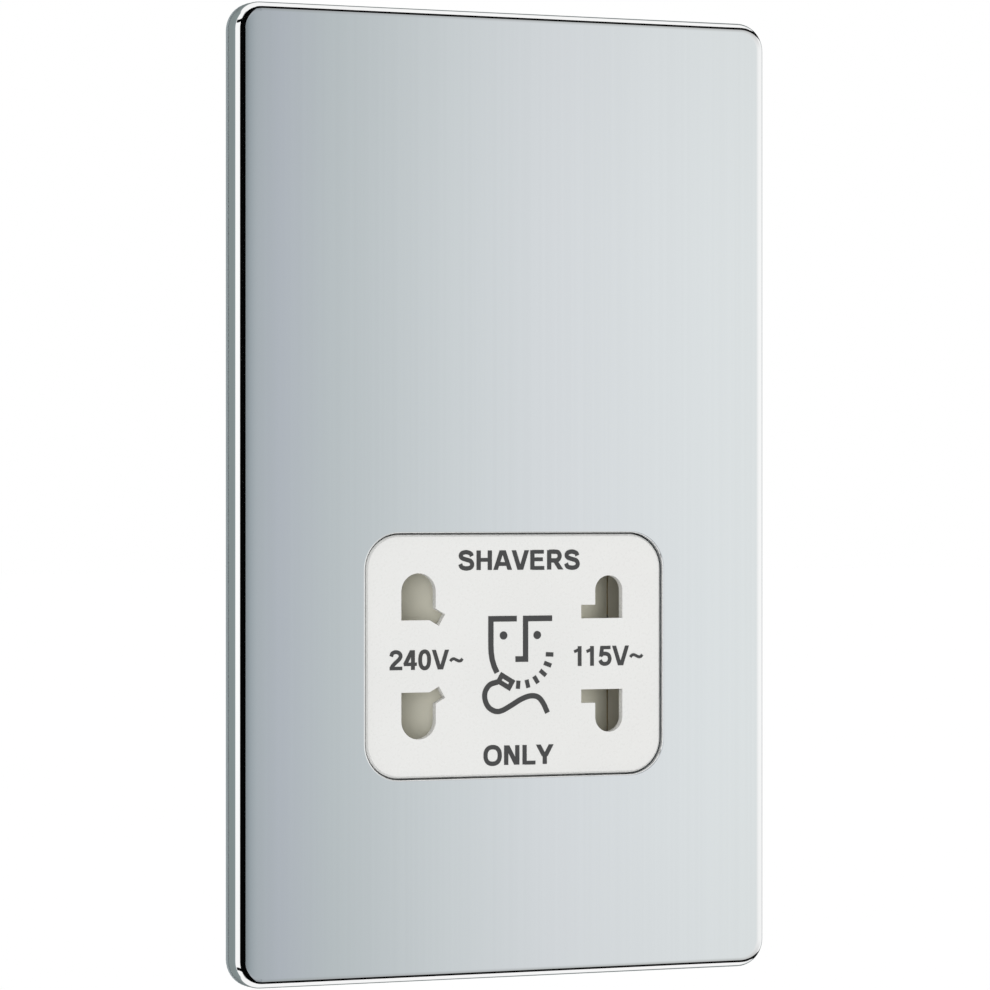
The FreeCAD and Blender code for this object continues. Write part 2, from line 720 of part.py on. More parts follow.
def make_carrier():
    """Tray for the shutter with two spring posts, and four wells for the contacts behind it."""
    body = new_body("contact_carrier", FACE_AT)
    outline = new_sketch(body, "carrier_outline", at=CARRIER_REAR)
    add_box(outline, f"-{CARRIER_HALF}", CARRIER_HALF, f"-{CARRIER_TALL}", CARRIER_TALL)
    pad(body, outline, f"{CARRIER_REAR} - {FLANGE_REAR}")
    tray = new_sketch(body, "carrier_tray", at=FLANGE_REAR)
    add_box(tray, f"-{TRAY_HALF}", TRAY_HALF, f"-{TRAY_TALL}", TRAY_TALL)
    cut(body, tray, f"{FLOOR} - {FLANGE_REAR}")
    wells = new_sketch(body, "carrier_wells", at=FLOOR)
    add_box(wells, f"-({LEFT_OUTER} + well_margin)", f"well_margin - {LEFT_TIP}", WELL_LOW, WELL_HIGH)
    add_box(wells, f"{RIGHT_TIP} - well_margin", f"{RIGHT_OUTER} + well_margin", WELL_LOW, WELL_HIGH)
    well_cut = cut(body, wells)
    mirror(body, "carrier_lower_wells", [well_cut], "XY_Plane")
    channel = new_sketch(body, "carrier_common_channel", at=CARRIER_REAR)
    add_box(channel, f"-{LEFT_MID}", RIGHT_MID,
            f"{JAW_Z} - jaw_half - tail_clear", f"{JAW_Z} + jaw_half + tail_clear")
    cut(body, channel, "jaw_shelf + jaw_strip + tail_clear", front=True)
    posts = new_sketch(body, "carrier_spring_posts", at=FLOOR)
    add_box(posts, f"{POST_INNER} - post_thick", POST_INNER, "-post_half", "post_half")
    add_box(posts, f"{SPRING_END} + spring_gap", f"{SPRING_END} + spring_gap + post_thick",
            "-post_half", "post_half")
    pad(body, posts, "spring_height / 2 + spring_gap + slider_gap")
    piece(body, "contact_carrier")


def make_cover():
    """Insulating plate behind the wells, with a slot for each contact's tail."""
    body = new_body("contact_cover", FACE_AT)
    outline = new_sketch(body, "cover_outline", at=COVER_REAR)
    add_box(outline, f"-{CARRIER_HALF}", CARRIER_HALF, f"-{CARRIER_TALL}", CARRIER_TALL)
    pad(body, outline, "cover_thick")
    slots = new_sketch(body, "cover_tail_slots", at=COVER_REAR)
    tails = ((f"-{LEFT_MID}", f"-{JAW_Z}"), (RIGHT_MID, f"-{JAW_Z}"), ("common_tail_x", JAW_Z))
    for x, z in tails:
        add_box(slots, f"{x} - tail_half - tail_clear", f"{x} + tail_half + tail_clear",
                f"{z} - jaw_strip / 2 - tail_clear", f"{z} + jaw_strip / 2 + tail_clear")
    cut(body, slots, front=True)
    piece(body, "contact_cover")


def strip_solid(points, thick, bend, width, flats=False):
    """Strip bent along a line of points in the XY plane, its width centred on that plane.

    Both sides are offset from the line with mitred corners; bends of 30 degrees or more are
    then rounded inside and outside, or folded in flats, and shallower ones are only creased.
    """
    low = V(0, 0, -width / 2)
    flat = [V(x, y, 0) for x, y in points]
    sides = {1: [], -1: []}
    for i, p in enumerate(flat):
        runs = [(b - a).normalize() for a, b in zip(flat[max(i - 1, 0):i + 1], flat[max(i, 1):i + 2])]
        normals = [V(-r.y, r.x, 0) for r in runs]
        mitre = (normals[0] + normals[-1]).normalize()
        reach = thick / 2 / mitre.dot(normals[0])
        for side in sides:
            sides[side].append(p + low + mitre * (side * reach))
    ring = sides[1] + sides[-1][::-1]
    solid = Part.Face(Part.makePolygon(ring + ring[:1])).extrude(V(0, 0, width))
    for i in range(1, len(flat) - 1):
        into, out = flat[i] - flat[i - 1], flat[i + 1] - flat[i]
        if math.degrees(into.getAngle(out)) < 30:
            continue
        inner = 1 if into.cross(out).z > 0 else -1
        for side, more in ((inner, 0), (-inner, thick)):
            corner = sides[side][i] - low
            edges = [e for e in solid.Edges if e.BoundBox.ZLength > width / 2
                     and e.CenterOfMass.distanceToPoint(corner) < 1e-5]
            if flats:
                solid = solid.makeChamfer(bend + more * math.tan(math.pi / 8), edges)
            else:
                solid = solid.makeFillet(bend + more, edges)
    return solid


def jaw(x, z):
    """Pair of leaves bent from one strip: parallel, pinched together, flared to guide the pin."""
    base = num(BASE_FRONT) + num("jaw_strip") / 2
    front = num(FLOOR) + num("seat_gap")
    side = [(num("jaw_flare"), front), (num("jaw_pinch"), front + num("jaw_pinch_depth")),
            (num("jaw_span"), front + num("jaw_root_depth")), (num("jaw_span"), base)]
    points = [(x - a, y) for a, y in side] + [(x + a, y) for a, y in reversed(side)]
    solid = strip_solid(points, num("jaw_strip"), num("jaw_bend"), 2 * num("jaw_half"))
    solid.translate(V(0, 0, z))
    return solid


def tail(x, z):
    """Flat tail through the cover to the lead."""
    half, strip = num("tail_half"), num("jaw_strip")
    start = num(BASE_FRONT) + strip / 2
    stop = num(COVER_REAR) + num("tail_out")
    return Part.makeBox(2 * half, stop - start, strip, V(x - half, start, z - strip / 2))


def make_contacts():
    """Spring contacts: one strip with the two upper jaws, and a jaw for each lower slot."""
    left, right, z = num(f"-{LEFT_MID}"), num(RIGHT_MID), num(JAW_Z)
    strip, half = num("jaw_strip"), num("jaw_half")
    span = num("jaw_span")
    link = Part.makeBox(right - left - 2 * span, strip, 2 * half,
                        V(left + span, num(BASE_FRONT), z - half))
    shapes = {
        "common_contact": [jaw(left, z), jaw(right, z), link, tail(num("common_tail_x"), z)],
        "contact_240v": [jaw(left, -z), tail(left, -z)],
        "contact_115v": [jaw(right, -z), tail(right, -z)],
    }
    for name, solids in shapes.items():
        contact = doc.addObject("Part::Feature", name)
        contact.Shape = solids[0].fuse(solids[1:]).removeSplitter()
        contact.Placement = FreeCAD.Placement()
        place(contact, FACE_AT)
        piece(contact, name)


def make_housing():
    """Moulded case with a narrower box over the transformer, screw wells, posts and a terminal shroud."""
    body = new_body("rear_housing")
    half_x, half_z = HOUSING_HALF, HOUSING_TOP
    outer = new_sketch(body, "housing_outline", at=WEB_REAR)
    add_rounded(outer, half_x, half_z, "housing_corner")
    pad(body, outer, f"{LOWER_REAR} - {WEB_REAR}", back=True)
    bevel_edges(body, "housing_case_edges", "housing_edge", on_plane("Y", num(LOWER_REAR)))
    box_z = f"({BOX_TOP} + {STEP_Z}) / 2"
    box = new_sketch(body, "housing_box", at=LOWER_REAR)
    add_rounded(box, BOX_HALF, f"({BOX_TOP} - {STEP_Z}) / 2", "box_corner", "0", box_z)
    pad(body, box, f"{UPPER_REAR} - {LOWER_REAR}", back=True)
    bevel_edges(body, "housing_box_edges", "housing_edge", on_plane("Y", num(UPPER_REAR)))
    inner = new_sketch(body, "housing_inside", at=WEB_REAR)
    add_rounded(inner, f"{half_x} - housing_wall", f"{half_z} - housing_wall",
                "housing_corner - housing_wall")
    cut(body, inner, f"{LOWER_INNER} - {WEB_REAR}")
    upper = new_sketch(body, "housing_box_inside", at=LOWER_INNER)
    add_box(upper, f"housing_wall - {BOX_HALF}", f"{BOX_HALF} - housing_wall",
            f"{STEP_Z} + housing_wall", f"{BOX_TOP} - housing_wall")
    cut(body, upper, f"{UPPER_INNER} - {LOWER_INNER}")
    for level, spot in zip(("upper", "lower"), CORNERS):
        column = new_sketch(body, f"housing_{level}_column", at="pillar_end")
        add_circle(column, *spot, "screw_well + housing_wall")
        pad(body, column, f"{LOWER_REAR} - pillar_end - housing_edge", back=True)
        well = new_sketch(body, f"housing_{level}_well", at=LOWER_REAR)
        add_circle(well, *spot, "screw_well")
        cut(body, well, f"{LOWER_REAR} - pillar_end - lug_thick", front=True)
        hole = new_sketch(body, f"housing_{level}_hole", at=LOWER_REAR)
        add_circle(hole, *spot, "tapper_shank + screw_clear")
        cut(body, hole, front=True)
    rests = new_sketch(body, "housing_core_posts", at=CORE_REAR)
    core_posts(rests)
    pad(body, rests, f"{UPPER_INNER} - {CORE_REAR}", back=True)
    stops = new_sketch(body, "housing_cover_posts", at=COVER_REAR)
    for sx in ("", "-"):
        for sz in ("", "-"):
            add_box(stops, f"face_x + {sx}cover_post_x - post_half_width",
                    f"face_x + {sx}cover_post_x + post_half_width",
                    f"face_z + {sz}cover_post_z - post_half_width",
                    f"face_z + {sz}cover_post_z + post_half_width")
    pad(body, stops, f"{LOWER_INNER} - {COVER_REAR}", back=True)
    shroud = new_sketch(body, "housing_shroud", at=LOWER_REAR)
    pocket_half = "(terminal_width / 2 + terminal_fit)"
    top = f"({TERMINAL_Z} + terminal_height / 2 + terminal_fit)"
    base = f"({TERMINAL_Z} - terminal_height / 2 - shroud_skirt)"
    reach = f"(terminal_pitch + {pocket_half} + shroud_wall)"
    add_box(shroud, f"-{reach}", reach, base, f"{top} + shroud_wall")
    pad(body, shroud, "shroud_depth", back=True)
    pockets = new_sketch(body, "housing_terminal_pockets", at=f"{LOWER_REAR} + shroud_depth")
    tails = new_sketch(body, "housing_tail_slots", at=LOWER_REAR)
    for x in ("-terminal_pitch", "0", "terminal_pitch"):
        add_box(pockets, f"{x} - {pocket_half}", f"{x} + {pocket_half}", f"{base} - overshoot", top)
        add_box(tails, f"{x} - terminal_tail - terminal_fit", f"{x} + terminal_tail + terminal_fit",
                f"{TERMINAL_Z} - terminal_tail_thick / 2 - terminal_fit",
                f"{TERMINAL_Z} + terminal_tail_thick / 2 + terminal_fit")
    cut(body, pockets, "shroud_depth", front=True)
    cut(body, tails, "housing_wall + overshoot", front=True)
    piece(body, "rear_housing")


def make_transformer():
    """E and I stacks of laminations, the coil former in their windows, and two windings."""
    u = "core_limb"
    deep = ("-core_stack / 2", "core_stack / 2")
    e_whole = block("e_blank", f"-3 * {u}", f"3 * {u}", *deep, f"-2.5 * {u}", f"1.5 * {u}")
    tall = (f"-1.5 * {u}", f"1.5 * {u}")
    windows = [block("e_window_left", f"-2 * {u}", f"-{u}", *deep, *tall),
               block("e_window_right", u, f"2 * {u}", *deep, *tall)]
    e_stack = subtract("core_e_stack", e_whole, fuse("e_windows", windows))
    place(e_stack, CORE_AT)
    piece(e_stack, "core_e_stack")
    i_stack = block("core_i_stack", f"-3 * {u}", f"3 * {u}", CORE_FRONT, CORE_REAR,
                    f"{CORE_Z} + 1.5 * {u}", f"{CORE_Z} + 2.5 * {u}")
    piece(i_stack, "core_i_stack")

    tube_x = f"({u} + bobbin_gap + bobbin_wall)"
    tube_y = "(core_stack / 2 + bobbin_gap + bobbin_wall)"
    tall = f"(1.5 * {u} - bobbin_gap)"
    out_x, out_y = f"(2 * {u} - bobbin_gap)", "(core_stack / 2 + coil_overhang)"
    parts = [block("bobbin_tube", f"-{tube_x}", tube_x, f"-{tube_y}", tube_y, f"-{tall}", tall)]
    flanges = (("low", f"-{tall}", f"bobbin_wall - {tall}"),
               ("mid", "-bobbin_wall / 2", "bobbin_wall / 2"),
               ("top", f"{tall} - bobbin_wall", tall))
    for name, z0, z1 in flanges:
        parts.append(block(f"bobbin_{name}_flange", f"-{out_x}", out_x, f"-{out_y}", out_y, z0, z1))
    for name, x in LEAD_PINS.items():
        parts.append(block(f"{name}_pin", f"{x} - pin_half", f"{x} + pin_half",
                           "core_stack / 2 + coil_overhang / 2 - pin_half",
                           "core_stack / 2 + coil_overhang / 2 + pin_half",
                           f"{LEAD_Z} - lead_radius - {CORE_Z}", f"bobbin_wall / 2 - {tall}"))
    bore = block("bobbin_bore", f"-({u} + bobbin_gap)", f"{u} + bobbin_gap",
                 "-(core_stack / 2 + bobbin_gap)", "core_stack / 2 + bobbin_gap", f"-{tall}", tall)
    bobbin = subtract("bobbin", fuse("bobbin_solid", parts), bore)
    place(bobbin, CORE_AT)
    piece(bobbin, "bobbin")

    low = f"(bobbin_wall - {tall} + winding_gap)"
    high = "(-bobbin_wall / 2 - winding_gap)"
    levels = {"primary_winding": low, "secondary_winding": f"-{high}"}
    for name, start in levels.items():
        body = new_body(name, CORE_AT)
        ring = new_sketch(body, f"{name}_ring", "XY_Plane", start)
        add_rounded(ring, f"{out_x} - winding_inset", f"{out_y} - winding_inset", "winding_corner")
        pad(body, ring, f"{high} - {low}")
        inside = new_sketch(body, f"{name}_inside", "XY_Plane", start)
        add_box(inside, f"-({tube_x} + winding_gap)", f"{tube_x} + winding_gap",
                f"-({tube_y} + winding_gap)", f"{tube_y} + winding_gap")
        cut(body, inside, front=True)
        piece(body, name)

    face = f"({COIL_FRONT} + winding_inset)"
    middle = f"({CORE_Z} + ({low} + {high}) / 2)"
    case = block("cutout_case", "cutout_x - cutout_width / 2", "cutout_x + cutout_width / 2",
                 f"{face} - cutout_thick", face,
                 f"{middle} - cutout_height / 2", f"{middle} + cutout_height / 2")
    foot = f"({LEAD_Z} - lead_radius)"
    legs = []
    for i, sign in enumerate(("-", "")):
        x, y = f"(cutout_x + {sign}cutout_leg_x)", f"({face} - cutout_thick / 2)"
        legs.append(block(f"cutout_leg_{i}", f"{x} - cutout_leg", f"{x} + cutout_leg",
                          f"{y} - cutout_leg / 2", f"{y} + cutout_leg / 2",
                          foot, f"{middle} - cutout_height / 2"))
    piece(fuse("thermal_cutout", [case] + legs), "thermal_cutout")


def make_terminals():
    """Brass blocks with a wire bore from below, a clamp screw from behind and a tail inside."""
    half, tall = "terminal_width / 2", "terminal_height / 2"
    rear = f"({LOWER_REAR} + terminal_depth)"
    bore_y = f"({LOWER_REAR} + terminal_depth / 2)"
    spots = (("live", "-terminal_pitch"), ("neutral", "0"), ("earth", "terminal_pitch"))
    screws = []
    for name, x in spots:
        body = block(f"{name}_block", f"{x} - {half}", f"{x} + {half}", LOWER_REAR, rear,
                     f"{TERMINAL_Z} - {tall}", f"{TERMINAL_Z} + {tall}")
        tongue = block(f"{name}_tail", f"{x} - terminal_tail", f"{x} + terminal_tail",
                       f"{LEAD_Y} + lead_radius + lead_touch", LOWER_REAR,
                       f"{TERMINAL_Z} - terminal_tail_thick / 2",
                       f"{TERMINAL_Z} + terminal_tail_thick / 2")
        bore = rod(f"{name}_bore", "z", "wire_bore", "terminal_height",
                   (x, bore_y, f"{TERMINAL_Z} - {tall}"))
        thread = rod(f"{name}_thread", "y", "clamp_shank + tapper_fit", "terminal_depth / 2",
                     (x, bore_y, TERMINAL_Z))
        solid = subtract(f"terminal_{name}", fuse(f"{name}_solid", [body, tongue]),
                         fuse(f"{name}_holes", [bore, thread]))
        piece(solid, f"terminal_{name}")
        screws.append(rod(f"{name}_clamp", "y", "clamp_shank",
                          "terminal_depth / 2 - wire_bore - clamp_gap + clamp_proud",
                          (x, f"{bore_y} + wire_bore + clamp_gap", TERMINAL_Z)))
    piece(group("terminal_screws", screws), "terminal_screws")


def make_screws():
    """Wall box screws, with a thin neck through the frame, and housing screws with plain shanks."""
    seat = f"({FRAME_FRONT} + fixing_head_height + 2 * seat_gap)"
    fixing = []
    for i, sign in enumerate(("", "-")):
        z = f"{sign}fixing_pitch / 2"
        head = rod(f"fixing_head_{i}", "y", "fixing_head", "fixing_head_height",
                   ("0", f"{seat} - fixing_head_height", z))
        neck = rod(f"fixing_neck_{i}", "y", "fixing_neck", f"-{seat}", ("0", seat, z))
        shank = rod(f"fixing_shank_{i}", "y", "fixing_shank", f"fixing_length + {seat}", ("0", "0", z))
        fixing.append(fuse(f"fixing_{i}", [head, neck, shank]))
    piece(group("fixing_screws", fixing), "fixing_screws")
    seat = "(pillar_end + lug_thick)"
    tappers = []
    for i, (x, z) in enumerate(CORNERS):
        head = rod(f"tapper_head_{i}", "y", "tapper_head", "tapper_head_height", (x, seat, z))
        shank = rod(f"tapper_shank_{i}", "y", "tapper_shank", "tapper_length",
                    (x, f"{seat} - tapper_length", z))
        tappers.append(fuse(f"tapper_{i}", [head, shank]))
    piece(group("housing_screws", tappers), "housing_screws")


def make_earth_strip():
    """Strip under the earth terminal's tail, joggled below the face, its finger on the plate's back."""
    thick = num("strip_thick")
    high = num(f"{TERMINAL_Z} - terminal_tail_thick / 2 - strip_touch") - thick / 2
    low = num(STRIP_Z)
    front = num(f"{PLATE_INNER} + strip_touch") + thick / 2
    rear = num(f"{LOWER_INNER} - strip_touch")
    fold = num(f"{LEAD_Y} - lead_radius - strip_touch") - num("strip_joggle")
    points = [(rear, high), (fold + num("strip_joggle"), high), (fold, low), (front, low),
              (front, low - num("strip_finger"))]
    strip = doc.addObject("Part::Feature", "earth_strip")
    strip.Shape = strip_solid(points, thick, num("strip_bend"), num("strip_width"))
    # The strip is drawn in its own XY plane, which stands in the YZ plane with its width along X.
    strip.Placement = FreeCAD.Placement(V(0, 0, 0), FreeCAD.Rotation(V(0, 1, 0), V(0, 0, 1), V(1, 0, 0)))
    place(strip, ("terminal_pitch", "0", "0"))
    piece(strip, "earth_strip")


def lead(name, points, bend):
    """Six-sided lead along straight runs joined by tangent arcs."""
    path = [V(*p) for p in points]
    edges, start = [], path[0]
    for i in range(1, len(path) - 1):
        into = (path[i] - path[i - 1]).normalize()
        out = (path[i + 1] - path[i]).normalize()
        half = into.getAngle(out) / 2
        trim = bend * math.tan(half)
        a, b = path[i] - into * trim, path[i] + out * trim
        bow = (out - into).normalize()
        centre = path[i] + bow * (bend / math.cos(half))
        edges.append(Part.LineSegment(start, a).toShape())
        edges.append(Part.Arc(a, centre - bow * bend, b).toShape())
        start = b
    edges.append(Part.LineSegment(start, path[-1]).toShape())
    wire = Part.Wire(edges)
    radius = num("lead_radius")
    ring = []
    for i in range(7):
        turn = math.radians(60 * i)
        ring.append(path[0] + V(radius * math.cos(turn), radius * math.sin(turn), 0))
    solid = wire.makePipeShell([Part.makePolygon(ring)], True, False)
    want = 1.5 * math.sqrt(3) * radius ** 2 * wire.Length
    if abs(solid.Volume - want) > 0.01 * want:
        raise RuntimeError(f"{name} does not fill its own length")
    obj = doc.addObject("Part::Feature", name)
    obj.Shape = solid
    obj.Placement = FreeCAD.Placement()
    piece(obj, name)
    print(f"{name}: {wire.Length:.1f} mm, bends of {bend:.1f} mm")


def make_leads():
    """Leads that rise behind the cover, turn over the step and end at the coil former's pins."""
    y, bend, over = num(LEAD_Y), num("lead_bend"), num(LEAD_Z)
    back = num(f"{CORE_REAR} + coil_overhang / 2 - pin_half - lead_end_gap")
    fx, fz, jz = num("face_x"), num("face_z"), num(JAW_Z)
    starts = {
        "lead_neutral": (0.0, num(TERMINAL_Z)),
        "lead_common": (fx + num("common_tail_x"), fz + jz),
        "lead_115v": (fx + num(RIGHT_MID), fz - jz),
        "lead_240v": (fx - num(LEFT_MID), fz - jz),
    }
    for name, (x, z) in starts.items():
        end = num(LEAD_PINS[name])
        lead(name, [(x, y, z - num("lead_rise")), (x, y, over), (end, back, over)], bend)
    x = num("cutout_x - cutout_leg_x")
    front = num(f"{COIL_FRONT} + winding_inset - cutout_thick / 2 + cutout_leg / 2 + lead_end_gap")
    low = num(f"{TERMINAL_Z} - lead_rise")
    lead("lead_live", [(x, y, low), (x, y, over), (x, front, over)], bend)


make_front_plate()
make_mounting_frame()
make_socket_face()
make_shutter()
make_spring()
make_carrier()
make_cover()
make_contacts()
make_housing()
make_transformer()
make_terminals()
make_screws()
make_earth_strip()
make_leads()
doc.recompute()

for obj in doc.Objects:
    if "Invalid" in obj.State or "Error" in obj.State:
        raise RuntimeError(f"{obj.Name} failed to build")
for obj in PIECES:
    if obj.Shape.isNull() or not obj.Shape.isValid() or not obj.Shape.Solids:
        raise RuntimeError(f"{obj.Label} has no valid shape")

os.makedirs("parts", exist_ok=True)
for obj in PIECES:
    obj.Shape.exportStep(f"parts/{obj.Label}.step")
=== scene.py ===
"""Shaver socket: dresses the packed frame. Laid out as an add-on and run as a script."""
import math

import bpy
import numpy as np
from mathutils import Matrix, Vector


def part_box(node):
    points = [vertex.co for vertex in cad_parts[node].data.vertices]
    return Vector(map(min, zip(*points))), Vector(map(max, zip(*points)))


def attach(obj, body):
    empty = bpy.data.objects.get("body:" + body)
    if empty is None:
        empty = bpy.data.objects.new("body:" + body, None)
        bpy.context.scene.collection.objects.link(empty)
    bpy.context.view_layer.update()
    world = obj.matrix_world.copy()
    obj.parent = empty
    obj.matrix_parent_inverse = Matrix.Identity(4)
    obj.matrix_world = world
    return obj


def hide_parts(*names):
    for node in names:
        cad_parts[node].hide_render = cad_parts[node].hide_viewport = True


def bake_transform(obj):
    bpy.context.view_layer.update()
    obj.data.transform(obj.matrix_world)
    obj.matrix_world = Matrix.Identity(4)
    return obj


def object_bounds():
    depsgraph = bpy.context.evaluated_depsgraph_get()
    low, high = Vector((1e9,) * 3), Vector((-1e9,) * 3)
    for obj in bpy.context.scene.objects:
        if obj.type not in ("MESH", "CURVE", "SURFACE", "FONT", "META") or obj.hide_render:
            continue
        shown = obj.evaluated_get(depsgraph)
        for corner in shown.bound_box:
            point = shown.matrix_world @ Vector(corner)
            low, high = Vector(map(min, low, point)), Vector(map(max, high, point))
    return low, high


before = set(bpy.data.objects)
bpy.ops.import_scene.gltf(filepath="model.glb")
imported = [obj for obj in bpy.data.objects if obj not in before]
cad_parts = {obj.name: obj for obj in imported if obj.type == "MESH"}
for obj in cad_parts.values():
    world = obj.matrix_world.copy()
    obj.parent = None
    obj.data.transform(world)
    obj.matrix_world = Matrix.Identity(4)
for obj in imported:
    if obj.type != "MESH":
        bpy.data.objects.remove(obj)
CAD_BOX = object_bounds()

bl_info = {
    "name": "Shaver Socket",
    "version": (1, 0, 0),
    "blender": (4, 5, 0),
    "location": "View3D > Sidebar > Shaver Socket",
    "description": "Plate, screws, spring, marks, finishes and studio of a dual voltage shaver socket",
    "category": "Object",
}

MM = 0.001
BODY = "socket"

# Faces that meet at more degrees than this keep a sharp edge.
SHARP = 32.0

# Points round each ring of a turned surface.
RING = 24


def colour_setting(name, description, default):
    """A colour that the user can change."""
    return bpy.props.FloatVectorProperty(
        name=name, description=description, subtype="COLOR", size=3, min=0.0, max=1.0, default=default)


def length_setting(name, description, default):
    """A length in metres that the user can change."""
    return bpy.props.FloatProperty(
        name=name, description=description, subtype="DISTANCE", unit="LENGTH", min=0.0, precision=5,
        default=default)


class ShaverFinish(bpy.types.PropertyGroup):
    """Colours of the finishes."""

    chrome: colour_setting("Chrome", "Tint of the polished plate", (0.93, 0.93, 0.93))
    face: colour_setting("Face", "White of the socket face", (0.825, 0.825, 0.808))
    ink: colour_setting("Ink", "Printed marks", (0.055, 0.055, 0.055))
    shutter: colour_setting("Shutter", "Beige of the sprung shutter", (0.79, 0.77, 0.645))
    carrier: colour_setting("Carrier", "Tray and cover of the contacts", (0.72, 0.69, 0.58))
    lip: colour_setting("Frame", "Moulded frame behind the plate", (0.30, 0.345, 0.36))
    housing: colour_setting("Housing", "Rear housing", (0.70, 0.70, 0.68))
    brass: colour_setting("Brass", "Contacts and terminals", (0.78, 0.60, 0.28))
    steel: colour_setting("Steel", "Screws, spring and strip", (0.62, 0.62, 0.61))
    iron: colour_setting("Core iron", "Oiled laminations", (0.20, 0.21, 0.23))
    copper: colour_setting("Copper", "Enamelled windings", (0.55, 0.24, 0.11))
    black: colour_setting("Black", "Coil former and cut-out", (0.03, 0.03, 0.032))


class ShaverPlate(bpy.types.PropertyGroup):
    """Sizes of the drawn plate."""

    sheet: length_setting("Sheet", "Thickness of the metal", 0.8 * MM)
    corner: length_setting("Corner", "Radius of the plate's outline at its corners", 4.2 * MM)
    edge: length_setting("Edge", "Radius of the rounded front edge", 1.5 * MM)
    rim: length_setting("Rim", "Radius of the cut-out's front edge", 0.2 * MM)
    cutout_corner: length_setting("Cut-out corner", "Radius of the cut-out at its corners", 5.48 * MM)
    flange: length_setting("Flange", "How far the face's flange lies behind the plate", 1.72 * MM)


class ShaverPrint(bpy.types.PropertyGroup):
    """Sizes of the printed marks."""

    cap: length_setting("Letter height", "Height of the capital letters", 2.95 * MM)
    stem: length_setting("Letter stroke", "Width of the letters' upright strokes", 0.69 * MM)
    line: length_setting("Sign stroke", "Width of the strokes of the shaver sign", 0.86 * MM)
    depth: length_setting("Ink depth", "How far the ink stands proud of the face", 0.03 * MM)


class ShaverSpring(bpy.types.PropertyGroup):
    """Sizes of the centring spring."""

    strip: length_setting("Strip", "Thickness of the spring strip", 0.3 * MM)
    bend: length_setting("Bend", "Radius of the strip's middle line at a bend", 0.5 * MM)
    legs: bpy.props.IntProperty(name="Legs", description="Upright legs of the spring", default=5, min=2)


class ShaverScrew(bpy.types.PropertyGroup):
    """Sizes of the wall box screws and of the clamp screws' slots."""

    head: length_setting("Head", "Height of the head", 2.0 * MM)
    neck: length_setting("Neck", "Radius of the plain neck under the head", 1.5 * MM)
    thread: length_setting("Thread", "Outer radius of the thread", 1.75 * MM)
    root: length_setting("Root", "Radius at the bottom of the thread", 1.42 * MM)
    pitch: length_setting("Pitch", "Distance from turn to turn of the thread", 0.6 * MM)
    slot: length_setting("Slot", "Width of the slot in a clamp screw", 0.6 * MM)
    slot_depth: length_setting("Slot depth", "Depth of the slot in a clamp screw", 0.7 * MM)


class ShaverStage(bpy.types.PropertyGroup):
    """Camera, floor and light."""

    turn: bpy.props.FloatProperty(
        name="Camera turn", description="How far the camera stands to the left of the plate's front",
        subtype="ANGLE", unit="ROTATION", default=math.radians(21.143))
    camera_x: bpy.props.FloatProperty(
        name="Camera X", description="Camera place across the plate", unit="LENGTH", default=-218.7 * MM)
    camera_y: bpy.props.FloatProperty(
        name="Camera Y", description="Camera place before the plate", unit="LENGTH", default=-564.8 * MM)
    lens: bpy.props.FloatProperty(
        name="Lens", description="Focal length on a sensor 36 mm wide", unit="CAMERA", default=144.97)
    drop: length_setting("Floor drop", "Floor below the lowest point", 0.18)
    light: bpy.props.FloatProperty(
        name="Soft light", description="Brightness of the even light all round", default=1.0, min=0.0)


class Net:
    """The node tree of one material or world, with short calls that add and link nodes."""

    def __init__(self, owner):
        owner.use_nodes = True
        self.owner, self.tree = owner, owner.node_tree
        self.tree.nodes.clear()

    def node(self, kind, inputs=None, **settings):
        made = self.tree.nodes.new(kind)
        for key, value in settings.items():
            setattr(made, key, value)
        for key, value in (inputs or {}).items():
            self.put(made.inputs[key], value)
        return made

    def put(self, socket, value):
        if isinstance(value, bpy.types.NodeSocket):
            self.tree.links.new(value, socket)
        else:
            socket.default_value = value

    def math(self, operation, *values):
        return self.node("ShaderNodeMath", dict(enumerate(values)), operation=operation).outputs[0]

    def spread(self, value, low, high, start=0.0, end=1.0, kind="SMOOTHSTEP"):
        inputs = {"Value": value, "From Min": low, "From Max": high, "To Min": start, "To Max": end}
        return self.node("ShaderNodeMapRange", inputs, interpolation_type=kind).outputs["Result"]

    def mix(self, factor, first, second):
        made = self.node("ShaderNodeMix", {0: factor, 6: first, 7: second}, data_type="RGBA")
        return made.outputs[2]

    def grain(self, stretch, detail=2.0):
        """Noise on the object's own coordinates, in cells per metre along each axis."""
        place = self.node("ShaderNodeTexCoord").outputs["Object"]
        scaled = self.node("ShaderNodeMapping", {"Vector": place, "Scale": stretch}).outputs["Vector"]
        inputs = {"Vector": scaled, "Scale": 1.0, "Detail": detail, "Roughness": 0.55}
        return self.node("ShaderNodeTexNoise", inputs).outputs[0]

    def bands(self, axis, pitch, waver=0.0):
        """Even bands across one axis, a pitch in metres apart."""
        place = self.node("ShaderNodeTexCoord").outputs["Object"]
        inputs = {"Vector": place, "Scale": math.pi / (10 * pitch), "Distortion": waver, "Detail": 1.0}
        return self.node("ShaderNodeTexWave", inputs, wave_type="BANDS", bands_direction=axis).outputs[1]

    def bump(self, height, depth, strength=0.4):
        inputs = {"Strength": strength, "Distance": depth, "Height": height}
        return self.node("ShaderNodeBump", inputs).outputs["Normal"]


def shade(colour, factor):
    """A colour times a factor, as RGBA."""
    return tuple(min(1.0, c * factor) for c in colour) + (1.0,)


def surface(name, inputs):
    """Material with one Principled surface, whose inputs are given by a function of the material's net."""
    net = Net(bpy.data.materials.new(name))
    bsdf = net.node("ShaderNodeBsdfPrincipled", inputs(net))
    out = net.node("ShaderNodeOutputMaterial")
    net.put(out.inputs["Surface"], bsdf.outputs["BSDF"])
    return net.owner


